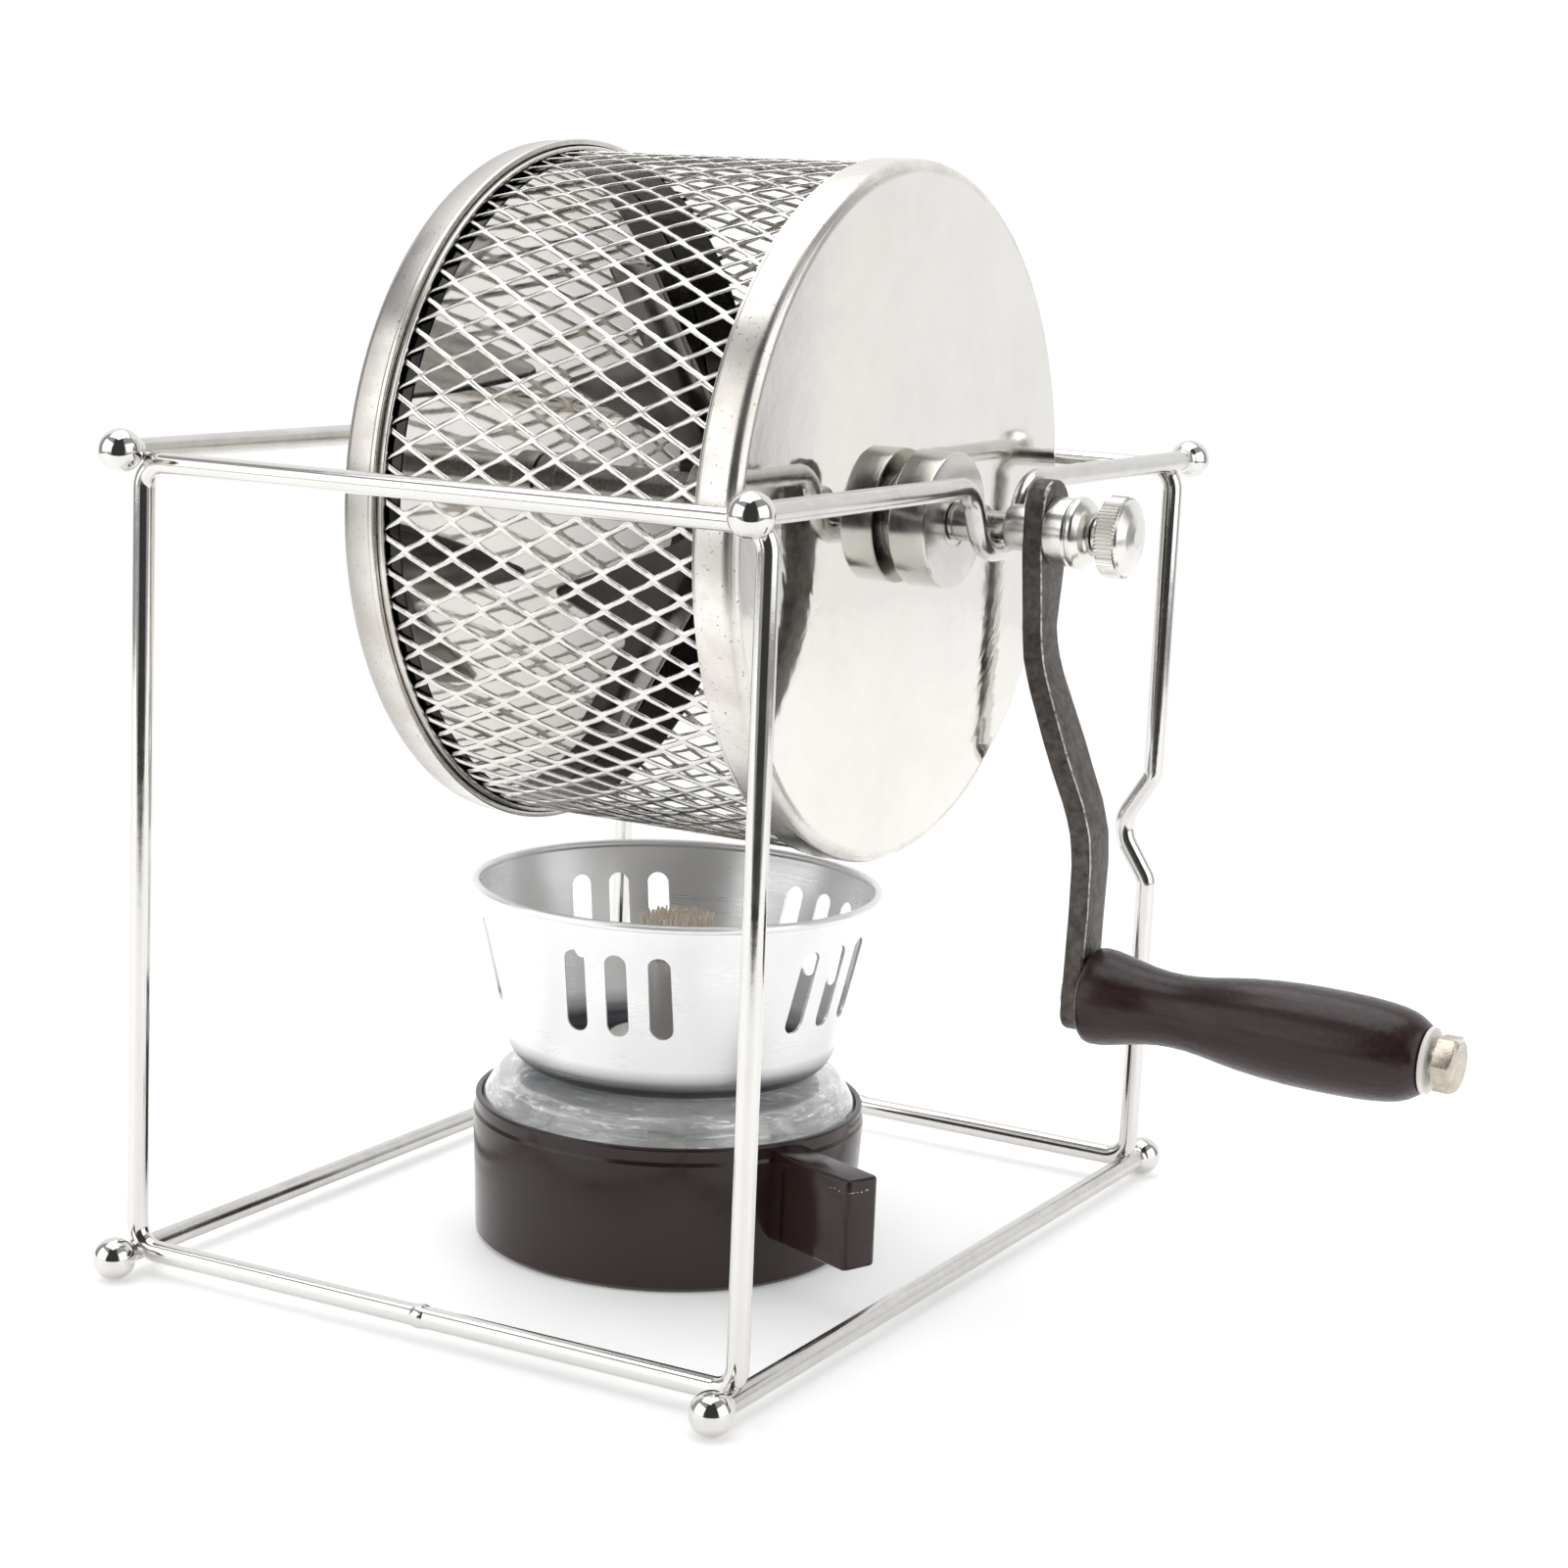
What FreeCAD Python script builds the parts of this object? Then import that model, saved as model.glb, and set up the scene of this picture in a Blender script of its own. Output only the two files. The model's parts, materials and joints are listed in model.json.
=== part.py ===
import FreeCAD
import Part

import math
import os

# Stovetop coffee bean roaster: a hand-cranked mesh drum on a wire stand, over an alcohol burner.
# Millimetres. +Z is up, +X runs along the drum's shaft to the crank, +Y is away from the front.
# The origin is the centre of the burner's flat foot, on the table that the stand's balls rest on.
# "Station" means a distance along X from the middle of the stand.

Vector = FreeCAD.Vector
ORIGIN = Vector(0, 0, 0)
AXIS_X = Vector(1, 0, 0)
AXIS_Y = Vector(0, 1, 0)
AXIS_Z = Vector(0, 0, 1)

# Fits
RUNNING_GAP = 0.05          # radial gap of a turning or sliding fit
FREE_GAP = 0.3              # gap between faces that pass each other
MESH_SEAT = 0.1             # radial gap round the mesh, filled by its welds

# Stand: bent wire loops and cross rods
WIRE_D = 4.3
BALL_D = 8.5
STAND_X = -2.7              # middle of the stand, seen from the burner
STAND_Y = 5.0
ROD_SPACING = 138.0         # along X, between the left and right rods
ROD_LENGTH = 193.6          # along Y, between the centres of a rod's balls
ROD_RISE = 160.0            # from the lower rods to the upper rods
# Each loop is bent a little out of true. Its corners, in the order lower left, lower right, upper
# right, upper left, give the inset along Y from a ball's centre and how far it lies inside the rods.
FRONT_LOOP_CORNERS = ((6.9, 0.5), (8.8, 1.0), (6.5, 1.9), (6.9, 2.4))
REAR_LOOP_CORNERS = ((8.8, 1.5), (8.8, 1.5), (8.8, 1.5), (8.8, 1.5))
LOOP_BEND_R = 5.0
SEAM_BEAD_D = 5.0           # butt weld in the bottom run of each loop
SEAM_BEAD_LENGTH = 2.6
KINK_HEIGHT = 82.0          # rest bent into the rear right post
KINK_LOWER = 11.3           # from the middle of the bend down and up to its ends
KINK_UPPER = 12.2
KINK_CORNER = 7.5           # how far the bend's middle corner stands in, before rounding
KINK_KNEE_R = 4.0
KINK_MIDDLE_R = 8.0
SADDLE_DROP = 13.05         # from the rod down to the bottom of its saddle, centre to centre
SADDLE_MOUTH = 26.0
SADDLE_SEAT = 12.8
SADDLE_MOUTH_R = 8.0
SADDLE_SEAT_R = 8.5

# Shaft and journals
SHAFT_D = 9.0
JOURNAL_D = 5.5
JOURNAL_LENGTH = 5.6
TAIL_COLLAR_D = 8.0
TAIL_COLLAR_LENGTH = 4.8
HUB_D = 27.0
HUB_LENGTH = 8.0
HUB_STANDOFF = 1.8
SPACER_D = 18.0
SHAFT_IN_HUB = 4.0          # depth of the shaft's seat in the hub
COLLAR_INNER_D = 7.6
COLLAR_INNER_LENGTH = 6.6
COLLAR_OUTER_D = 9.0
COLLAR_OUTER_LENGTH = 5.2
STUD_D = 6.0

# Drum: near cap, mesh, mesh ring
CAP_STATION = 50.0          # outside face of the near cap
CAP_R = 69.5
CAP_WALL = 0.8
CAP_DEPTH = 8.7
CAP_EDGE_R = 2.5
MESH_WALL = 1.2
MESH_CELL_LENGTH = 22.4
MESH_CELLS_AROUND = 32
MESH_STRAND = 2.2
RING_WALL = 0.7
RING_SHOWING = 1.2          # part of the mesh ring that the lid leaves bare

# Lid
LID_STATION = -37.1         # outside face of the lid
LID_DEPTH = 8.0
LID_WALL = 0.7
LID_EDGE_R = 2.0
LID_HEM = 0.4
LID_HEM_LENGTH = 1.0
LID_BUSH_D = 27.0
LID_BUSH_LENGTH = 5.0

# Inside the drum
STOP_COLLAR_D = 12.0
STOP_COLLAR_LENGTH = 5.0
GRUB_SCREW_D = 3.0
GRUB_SCREW_LENGTH = 1.3
STIRRER_STATION = 9.0
STIRRER_HUB_D = 16.0
STIRRER_HUB_LENGTH = 14.0
VANE_COUNT = 4
VANE_FIRST_ANGLE = -42.0    # from straight forward, upwards
VANE_WIDTH = 10.0
VANE_WALL = 1.2
VANE_REACH = 64.0
VANE_FIN_LENGTH = 24.0
VANE_FIN_INNER = 13.0
VANE_FIN_TIP = 30.0
VANE_FIN_OUTER = 40.0

# Crank
ARM_WALL = 4.2
ARM_TOP = 9.85              # from the shaft's axis up to the end of the eye
ARM_BEND_UPPER = 24.7       # below the axis
ARM_BEND_LOWER = 58.6
ARM_OFFSET = 14.0           # how far the lower bend stands out from the eye
ARM_BEND_R = 18.0
ARM_BOTTOM = 7.45           # below the grip's axis
ARM_EYE_WIDTH = 12.4
ARM_WAIST_WIDTH = 7.8
ARM_BELLY_WIDTH = 10.8
ARM_FOOT_WIDTH = 9.4
ARM_EYE_DEPTH = 4.0         # below the shaft's axis
ARM_WAIST_DEPTH = 19.0
ARM_BELLY_DEPTH = 41.0
ARM_SHIN_DEPTH = 74.0
ARM_EYE_R = 12.0            # radii where the arm's edges change direction
ARM_WAIST_R = 20.0
ARM_BELLY_R = 25.0
ARM_SHIN_R = 40.0
CRANK_THROW = 90.0
GRIP_TILT = 1.1             # degrees that the grip points down

# Clamp nut and thumb screw
NUT_D = 13.8
NUT_BARREL_LENGTH = 4.4
NUT_BEAD_D = 14.6
NUT_BEAD_LENGTH = 4.2
NUT_NOSE_D = 8.2
STUD_IN_NUT = 2.3
THUMB_SHANK_D = 4.0
THUMB_SHANK_LENGTH = 5.6
THUMB_NECK_D = 7.0
THUMB_NECK_LENGTH = 2.5
THUMB_HEAD_D = 15.8
THUMB_HEAD_LENGTH = 4.05
THUMB_DOME = 2.1

# Grip
GRIP_LENGTH = 68.2
GRIP_BEAD_R = 9.5
GRIP_WAIST_R = 7.2
GRIP_BELLY_R = 9.85
GRIP_END_R = 6.3
BOLT_D = 6.0
BOLT_HEAD_ACROSS_FLATS = 10.0
BOLT_HEAD_LENGTH = 4.0
BOLT_HEAD_TURN = -4.0       # degrees from the front to the nearest corner of the head
BARE_SHANK = 1.3            # between the washer and the bolt's head
PEEN_D = 8.0
PEEN_LENGTH = 0.6
WASHER_D = 12.8
WASHER_WALL = 1.0

# Burner base
BASE_FOOT_R = 39.9
BASE_RIM_R = 41.1
BASE_HEIGHT = 30.4
BASE_WALL = 1.3
BASE_FLOOR = 2.0
BASE_LIP_HEIGHT = 2.8
BASE_LIP_STEP = 0.4
HANDLE_ANGLE = -22.0        # from +X, seen from above
HANDLE_REACH = 64.2
HANDLE_WIDTH = 8.2
HANDLE_TOP = 29.2
HANDLE_BOTTOM = 10.7
HANDLE_EDGE_R = 0.8
RECESS_DEPTH = 0.8
RECESS_LENGTH = 11.0
RECESS_MARGIN = 2.6

# Burner font, wick holder and wick
FONT_WALL = 2.5
FONT_FLOOR = 3.0
FONT_SHOULDER_RISE = 6.7    # from the base's rim up to the flat top of the font
FONT_NECK_R = 14.0
FONT_NECK_RISE = 4.4
FONT_MOUTH_R = 10.5
HOLDER_CAP_R = 13.4
HOLDER_CAP_WALL = 1.5
HOLDER_PLUG_DEPTH = 5.0
HOLDER_TUBE_R = 6.0
HOLDER_TUBE_RISE = 19.5
WICK_R = 4.8
WICK_HEAD_R = 8.0
WICK_HEAD_RISE = 7.5
WICK_TAIL_GAP = 4.0         # from the font's floor up to the end of the wick

# Windshield
SHIELD_WALL = 0.6
SHIELD_LIFT = 0.3           # gap over the font's flat top
SHIELD_FLOOR_R = 33.2
SHIELD_RIM_R = 42.3
SHIELD_HEIGHT = 38.0
SHIELD_FLOOR_EDGE_R = 4.0
SHIELD_BEAD_R = 0.9
SLOT_GROUPS = 5
SLOTS_IN_GROUP = 3
SLOT_FIRST_ANGLE = -76.0
SLOT_SPACING = 8.8          # across the group; the slots of a group are parallel
SLOT_WIDTH = 4.6
SLOT_LENGTH = 17.6
SLOT_BOTTOM = 14.2          # above the windshield's underside

# Worked out from the sizes above
ROD_LOW_Z = BALL_D / 2
ROD_HIGH_Z = ROD_LOW_Z + ROD_RISE
AXIS_HEIGHT = ROD_HIGH_Z - SADDLE_DROP + WIRE_D / 2 + RUNNING_GAP + JOURNAL_D / 2
MESH_R = CAP_R - CAP_WALL - MESH_SEAT
RING_INNER_R = MESH_R + MESH_SEAT
CAP_LIP_STATION = CAP_STATION - CAP_DEPTH
LID_INSIDE_STATION = LID_STATION + LID_WALL
LID_LIP_STATION = LID_STATION + LID_DEPTH
LID_INNER_R = RING_INNER_R + RING_WALL + FREE_GAP
RING_END_STATION = LID_INSIDE_STATION + FREE_GAP
HUB_BACK_STATION = CAP_STATION + HUB_STANDOFF
HUB_FACE_STATION = HUB_BACK_STATION + HUB_LENGTH
ROD_STATION = ROD_SPACING / 2
JOURNAL_START = HUB_FACE_STATION + COLLAR_INNER_LENGTH
JOURNAL_END = JOURNAL_START + JOURNAL_LENGTH
ARM_BACK_STATION = JOURNAL_END + COLLAR_OUTER_LENGTH
ARM_FRONT_STATION = ARM_BACK_STATION + ARM_WALL
NUT_END_STATION = ARM_FRONT_STATION + NUT_BARREL_LENGTH + NUT_BEAD_LENGTH
BASE_INNER_FOOT_R = BASE_FOOT_R - BASE_WALL
BASE_INNER_RIM_R = BASE_RIM_R - BASE_WALL
FONT_TOP_Z = BASE_HEIGHT + FONT_SHOULDER_RISE
FONT_MOUTH_Z = FONT_TOP_Z + FONT_NECK_RISE
HOLDER_TOP_Z = FONT_MOUTH_Z + HOLDER_CAP_WALL
SHIELD_BASE_Z = FONT_TOP_Z + SHIELD_LIFT


def rounded_wire(corners, place):
    """Closed wire through corners (a, b, radius); place(a, b) gives each point in space."""
    points = [place(a, b) for a, b, _ in corners]
    count = len(points)
    ends = []
    arcs = []
    for index, (_, _, radius) in enumerate(corners):
        corner = points[index]
        if radius <= 0:
            ends.append((corner, corner))
            arcs.append(None)
            continue
        back = (points[index - 1] - corner).normalize()
        ahead = (points[(index + 1) % count] - corner).normalize()
        half = back.getAngle(ahead) / 2
        reach = radius / math.tan(half)
        middle = (back + ahead).normalize() * (radius / math.sin(half) - radius)
        ends.append((corner + back * reach, corner + ahead * reach))
        arcs.append(Part.Arc(ends[-1][0], corner + middle, ends[-1][1]).toShape())
    edges = []
    for index in range(count):
        if arcs[index]:
            edges.append(arcs[index])
        start = ends[index][1]
        finish = ends[(index + 1) % count][0]
        if (finish - start).Length > 1e-6:
            edges.append(Part.LineSegment(start, finish).toShape())
    return Part.Wire(edges)


def turned_on_x(corners):
    """Solid turned about the X axis from (station, radius, corner radius) corners."""
    face = Part.Face(rounded_wire(corners, lambda a, b: Vector(a, 0, b)))
    return face.revolve(ORIGIN, AXIS_X, 360)


def turned_on_z(corners):
    """Solid turned about the Z axis from (radius, height, corner radius) corners."""
    face = Part.Face(rounded_wire(corners, lambda a, b: Vector(a, 0, b)))
    return face.revolve(ORIGIN, AXIS_Z, 360)


def rod_on_x(radius, start, finish):
    return Part.makeCylinder(radius, finish - start, Vector(start, 0, 0), AXIS_X)


def ring_on_x(outer, inner, start, finish):
    return rod_on_x(outer, start, finish).cut(rod_on_x(inner, start, finish))


def bent_wire(points, bend_radii, diameter, closed=False):
    """Round wire along straight runs joined by tangent bends."""
    count = len(points)
    inner = range(count) if closed else range(1, count - 1)
    tangents = {}
    pieces = []
    for index in inner:
        corner = points[index]
        back = (points[index - 1] - corner).normalize()
        ahead = (points[(index + 1) % count] - corner).normalize()
        half = back.getAngle(ahead) / 2
        radius = bend_radii[index]
        reach = radius / math.tan(half)
        centre = corner + (back + ahead).normalize() * (radius / math.sin(half))
        start = corner + back * reach
        tangents[index] = (start, corner + ahead * reach)
        section = Part.Face(Part.Wire(Part.makeCircle(diameter / 2, start, back)))
        turn_axis = (back * -1).cross(ahead)
        pieces.append(section.revolve(centre, turn_axis, 180 - math.degrees(2 * half)))
    for index in range(count if closed else count - 1):
        after = (index + 1) % count
        start = tangents[index][1] if index in tangents else points[index]
        finish = tangents[after][0] if after in tangents else points[after]
        run = finish - start
        pieces.append(Part.makeCylinder(diameter / 2, run.Length, start, run))
    return pieces[0].fuse(pieces[1:]).removeSplitter()


def on_stand(shape):
    """Moves a shape from the stand's middle on the table to its place in the frame."""
    shape.translate(Vector(STAND_X, STAND_Y, 0))
    return shape


def on_shaft(shape):
    """Moves a shape from the shaft's axis at the stand's middle to its place in the frame."""
    shape.translate(Vector(STAND_X, STAND_Y, AXIS_HEIGHT))
    return shape


# ---------------------------------------------------------------- stand

def cross_rod(side, height):
    """Straight lower rod, from ball to ball."""
    x = side * ROD_STATION
    start = Vector(x, -ROD_LENGTH / 2, height)
    return Part.makeCylinder(WIRE_D / 2, ROD_LENGTH, start, AXIS_Y)


def saddle_rod(side):
    """Upper rod, with the open saddle that a journal rests in."""
    x = side * ROD_STATION
    seat_z = ROD_HIGH_Z - SADDLE_DROP
    corners = [(-ROD_LENGTH / 2, ROD_HIGH_Z), (-SADDLE_MOUTH / 2, ROD_HIGH_Z),
               (-SADDLE_SEAT / 2, seat_z), (SADDLE_SEAT / 2, seat_z),
               (SADDLE_MOUTH / 2, ROD_HIGH_Z), (ROD_LENGTH / 2, ROD_HIGH_Z)]
    points = [Vector(x, y, z) for y, z in corners]
    radii = [0, SADDLE_MOUTH_R, SADDLE_SEAT_R, SADDLE_SEAT_R, SADDLE_MOUTH_R, 0]
    return bent_wire(points, radii, WIRE_D)


def wire_loop(side, corners, kinked):
    """Closed rectangle of wire, notched where it is welded on to the rods."""
    places = ((-1, ROD_LOW_Z, 1), (1, ROD_LOW_Z, 1), (1, ROD_HIGH_Z, -1), (-1, ROD_HIGH_Z, -1))
    points = []
    for (rod_side, rod_z, inward), (inset, setdown) in zip(places, corners):
        y = side * (ROD_LENGTH / 2 - inset)
        points.append(Vector(rod_side * ROD_STATION, y, rod_z + inward * setdown))
    seam = (points[0] + points[1]) / 2
    radii = [LOOP_BEND_R] * 4
    if kinked:
        y = points[1].y
        points[2:2] = [Vector(ROD_STATION, y, KINK_HEIGHT - KINK_LOWER),
                       Vector(ROD_STATION - KINK_CORNER, y, KINK_HEIGHT),
                       Vector(ROD_STATION, y, KINK_HEIGHT + KINK_UPPER)]
        radii[2:2] = [KINK_KNEE_R, KINK_MIDDLE_R, KINK_KNEE_R]
    loop = bent_wire(points, radii, WIRE_D, closed=True)
    half = SEAM_BEAD_LENGTH / 2
    bead_end_r = WIRE_D / 2 - 0.1
    bead = turned_on_x([(-half, 0, 0), (-half, bead_end_r, 0),
                        (0, SEAM_BEAD_D / 2, half), (half, bead_end_r, 0), (half, 0, 0)])
    bead.translate(seam)
    loop = loop.fuse(bead)
    for rod_side in (-1, 1):
        for height in (ROD_LOW_Z, ROD_HIGH_Z):
            loop = loop.cut(cross_rod(rod_side, height))
    return loop


def rod_balls(height):
    """Four balls, bored on to the ends of the two rods at one height."""
    balls = []
    for side in (-1, 1):
        for end in (-1, 1):
            centre = Vector(side * ROD_STATION, end * ROD_LENGTH / 2, height)
            ball = Part.makeSphere(BALL_D / 2, centre)
            balls.append(ball.cut(cross_rod(side, height)))
    return Part.makeCompound(balls)


def stand_parts():
    shapes = {
        "front_loop": wire_loop(-1, FRONT_LOOP_CORNERS, kinked=False),
        "rear_loop": wire_loop(1, REAR_LOOP_CORNERS, kinked=True),
        "right_saddle_rod": saddle_rod(1),
        "left_saddle_rod": saddle_rod(-1),
        "right_foot_rod": cross_rod(1, ROD_LOW_Z),
        "left_foot_rod": cross_rod(-1, ROD_LOW_Z),
        "upper_balls": rod_balls(ROD_HIGH_Z),
        "foot_balls": rod_balls(ROD_LOW_Z),
    }
    return {name: on_stand(shape) for name, shape in shapes.items()}


# ---------------------------------------------------------------- drum

def near_cap():
    """Pressed pan that closes the crank end of the mesh."""
    inner_r = CAP_R - CAP_WALL
    inside = CAP_STATION - CAP_WALL
    return turned_on_x([
        (CAP_STATION, SHAFT_D / 2, 0), (CAP_STATION, CAP_R, CAP_EDGE_R),
        (CAP_LIP_STATION, CAP_R, 0), (CAP_LIP_STATION, inner_r, 0),
        (inside, inner_r, CAP_EDGE_R - CAP_WALL), (inside, SHAFT_D / 2, 0)])


def mesh_tube():
    """Tube of diamond mesh, from inside the near cap to the mesh ring."""
    start = RING_END_STATION
    finish = CAP_STATION - CAP_EDGE_R
    inner_r = MESH_R - MESH_WALL
    tube = ring_on_x(MESH_R, inner_r, start, finish)
    cell_height = 2 * math.pi * inner_r / MESH_CELLS_AROUND
    half_x = MESH_CELL_LENGTH / 2
    half_y = cell_height / 2
    diagonal = math.hypot(half_x, half_y)
    opening = 1 - MESH_STRAND / 2 * diagonal / (half_x * half_y)
    half_length = (finish - start) / 2
    middle = (start + finish) / 2
    rows = int((half_length - half_x) / half_x)
    diamond = [(-half_x * opening, 0), (0, half_y * opening),
               (half_x * opening, 0), (0, -half_y * opening)]
    cutters = []
    for row in range(-rows, rows + 1):
        station = middle + row * half_x
        points = [Vector(station + x, y, inner_r - MESH_WALL) for x, y in diamond]
        face = Part.Face(Part.makePolygon(points + points[:1]))
        cutter = face.extrude(AXIS_Z * 3 * MESH_WALL)
        for cell in range(MESH_CELLS_AROUND):
            turned = cutter.copy()
            turned.rotate(ORIGIN, AXIS_X, (cell + 0.5 * (row % 2)) * 360 / MESH_CELLS_AROUND)
            cutters.append(turned)
    return tube.cut(Part.makeCompound(cutters))


def mesh_ring():
    """Plain band round the mesh, clear of the rounded corner of the lid that fits over it."""
    start = LID_INSIDE_STATION + LID_EDGE_R - LID_WALL
    end = LID_LIP_STATION + RING_SHOWING
    return ring_on_x(RING_INNER_R + RING_WALL, RING_INNER_R, start, end)


def shaft():
    """Turned shaft: tail collar, left journal, and the body that carries the drum."""
    rod = ROD_STATION
    neck_start = -rod - JOURNAL_LENGTH / 2
    neck_end = -rod + JOURNAL_LENGTH / 2
    tail = neck_start - TAIL_COLLAR_LENGTH
    seat = HUB_BACK_STATION + SHAFT_IN_HUB
    return turned_on_x([
        (tail, 0, 0), (tail, TAIL_COLLAR_D / 2, 0.6), (neck_start, TAIL_COLLAR_D / 2, 0),
        (neck_start, JOURNAL_D / 2, 0), (neck_end, JOURNAL_D / 2, 0),
        (neck_end, SHAFT_D / 2, 0.5), (seat, SHAFT_D / 2, 0), (seat, 0, 0)])


def hub_disc():
    """Disc outside the near cap: the shaft enters at the back and the spindle at the front."""
    step = HUB_BACK_STATION + SHAFT_IN_HUB
    return turned_on_x([
        (HUB_BACK_STATION, SHAFT_D / 2, 0), (HUB_BACK_STATION, HUB_D / 2, 0.4),
        (HUB_FACE_STATION, HUB_D / 2, 0.4), (HUB_FACE_STATION, STUD_D / 2, 0),
        (step, STUD_D / 2, 0), (step, SHAFT_D / 2, 0)])


def spindle():
    """Turned journal spindle: stud in the hub, collar, neck, collar, stud for the crank."""
    root = HUB_BACK_STATION + SHAFT_IN_HUB
    tip = ARM_FRONT_STATION + STUD_IN_NUT
    stud = STUD_D / 2
    inner = COLLAR_INNER_D / 2
    neck = JOURNAL_D / 2
    outer = COLLAR_OUTER_D / 2
    return turned_on_x([
        (root, 0, 0), (root, stud, 0), (HUB_FACE_STATION, stud, 0),
        (HUB_FACE_STATION, inner, 0), (JOURNAL_START, inner, 0.5),
        (JOURNAL_START, neck, 0), (JOURNAL_END, neck, 0), (JOURNAL_END, outer, 0.5),
        (ARM_BACK_STATION, outer, 0), (ARM_BACK_STATION, stud, 0),
        (tip, stud, 0), (tip, 0, 0)])


def stop_collar():
    """Collar that stops the lid, with a radial hole for its grub screw."""
    start = LID_INSIDE_STATION + FREE_GAP
    collar = ring_on_x(STOP_COLLAR_D / 2, SHAFT_D / 2, start, start + STOP_COLLAR_LENGTH)
    return collar.cut(grub_screw_hole(STOP_COLLAR_D))


def grub_screw_hole(length):
    """Round rod from the shaft's surface outwards, up and towards the front."""
    station = LID_INSIDE_STATION + FREE_GAP + STOP_COLLAR_LENGTH / 2
    start = Vector(station, 0, SHAFT_D / 2)
    hole = Part.makeCylinder(GRUB_SCREW_D / 2, length, start, AXIS_Z)
    hole.rotate(ORIGIN, AXIS_X, 45)
    return hole


def grub_screw():
    return grub_screw_hole(GRUB_SCREW_LENGTH).cut(rod_on_x(SHAFT_D / 2, LID_STATION, 0))


def stirrer_hub():
    half = STIRRER_HUB_LENGTH / 2
    return ring_on_x(STIRRER_HUB_D / 2, SHAFT_D / 2, STIRRER_STATION - half, STIRRER_STATION + half)


def stirring_vanes():
    """Flat blades round the stirrer hub, each with a fin towards the lid."""
    right = STIRRER_STATION + VANE_WIDTH / 2
    left = STIRRER_STATION - VANE_WIDTH / 2
    root = STIRRER_HUB_D / 4
    outline = [(right, root, 0), (right, VANE_REACH, 2), (left, VANE_REACH, 2),
               (left, VANE_FIN_OUTER, 4), (left - VANE_FIN_LENGTH, VANE_FIN_TIP, 1.5),
               (left, VANE_FIN_INNER, 4), (left, root, 0)]
    wire = rounded_wire(outline, lambda a, b: Vector(a, -VANE_WALL / 2, b))
    blade = Part.Face(wire).extrude(AXIS_Y * VANE_WALL)
    blade = blade.cut(rod_on_x(STIRRER_HUB_D / 2, left - VANE_FIN_LENGTH, right + 1))
    blades = []
    for index in range(VANE_COUNT):
        copy = blade.copy()
        angle = 90 - VANE_FIRST_ANGLE - index * 360 / VANE_COUNT
        copy.rotate(ORIGIN, AXIS_X, angle)
        blades.append(copy)
    return Part.makeCompound(blades)


def far_lid():
    """Pressed pan that fits over the mesh ring and slides on the shaft."""
    bore = SHAFT_D / 2 + RUNNING_GAP
    outer = LID_INNER_R + LID_WALL
    hem = outer + LID_HEM
    hem_start = LID_LIP_STATION - LID_HEM_LENGTH
    return turned_on_x([
        (LID_STATION, bore, 0), (LID_STATION, outer, LID_EDGE_R), (hem_start, outer, 0),
        (hem_start, hem, 0.15), (LID_LIP_STATION, hem, 0.15), (LID_LIP_STATION, LID_INNER_R, 0),
        (LID_INSIDE_STATION, LID_INNER_R, LID_EDGE_R - LID_WALL), (LID_INSIDE_STATION, bore, 0)])


def lid_bush():
    start = LID_STATION - LID_BUSH_LENGTH
    bore = SHAFT_D / 2 + RUNNING_GAP
    return turned_on_x([
        (start, bore, 0), (start, LID_BUSH_D / 2, 0.4),
        (LID_STATION, LID_BUSH_D / 2, 0), (LID_STATION, bore, 0)])


# ---------------------------------------------------------------- crank

def arm_centreline_x(below_axis):
    """Station of the arm's middle, below its lower bend, at a depth below the shaft."""
    lean = math.tan(math.radians(GRIP_TILT))
    return ARM_BACK_STATION + ARM_WALL / 2 + ARM_OFFSET - (below_axis - ARM_BEND_LOWER) * lean


def grip_place(shape):
    """Moves a shape turned about X, with the arm's middle at 0, to the grip's axis."""
    shape.rotate(ORIGIN, AXIS_Y, GRIP_TILT)
    shape.translate(Vector(arm_centreline_x(CRANK_THROW), 0, -CRANK_THROW))
    return on_shaft(shape)


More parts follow.
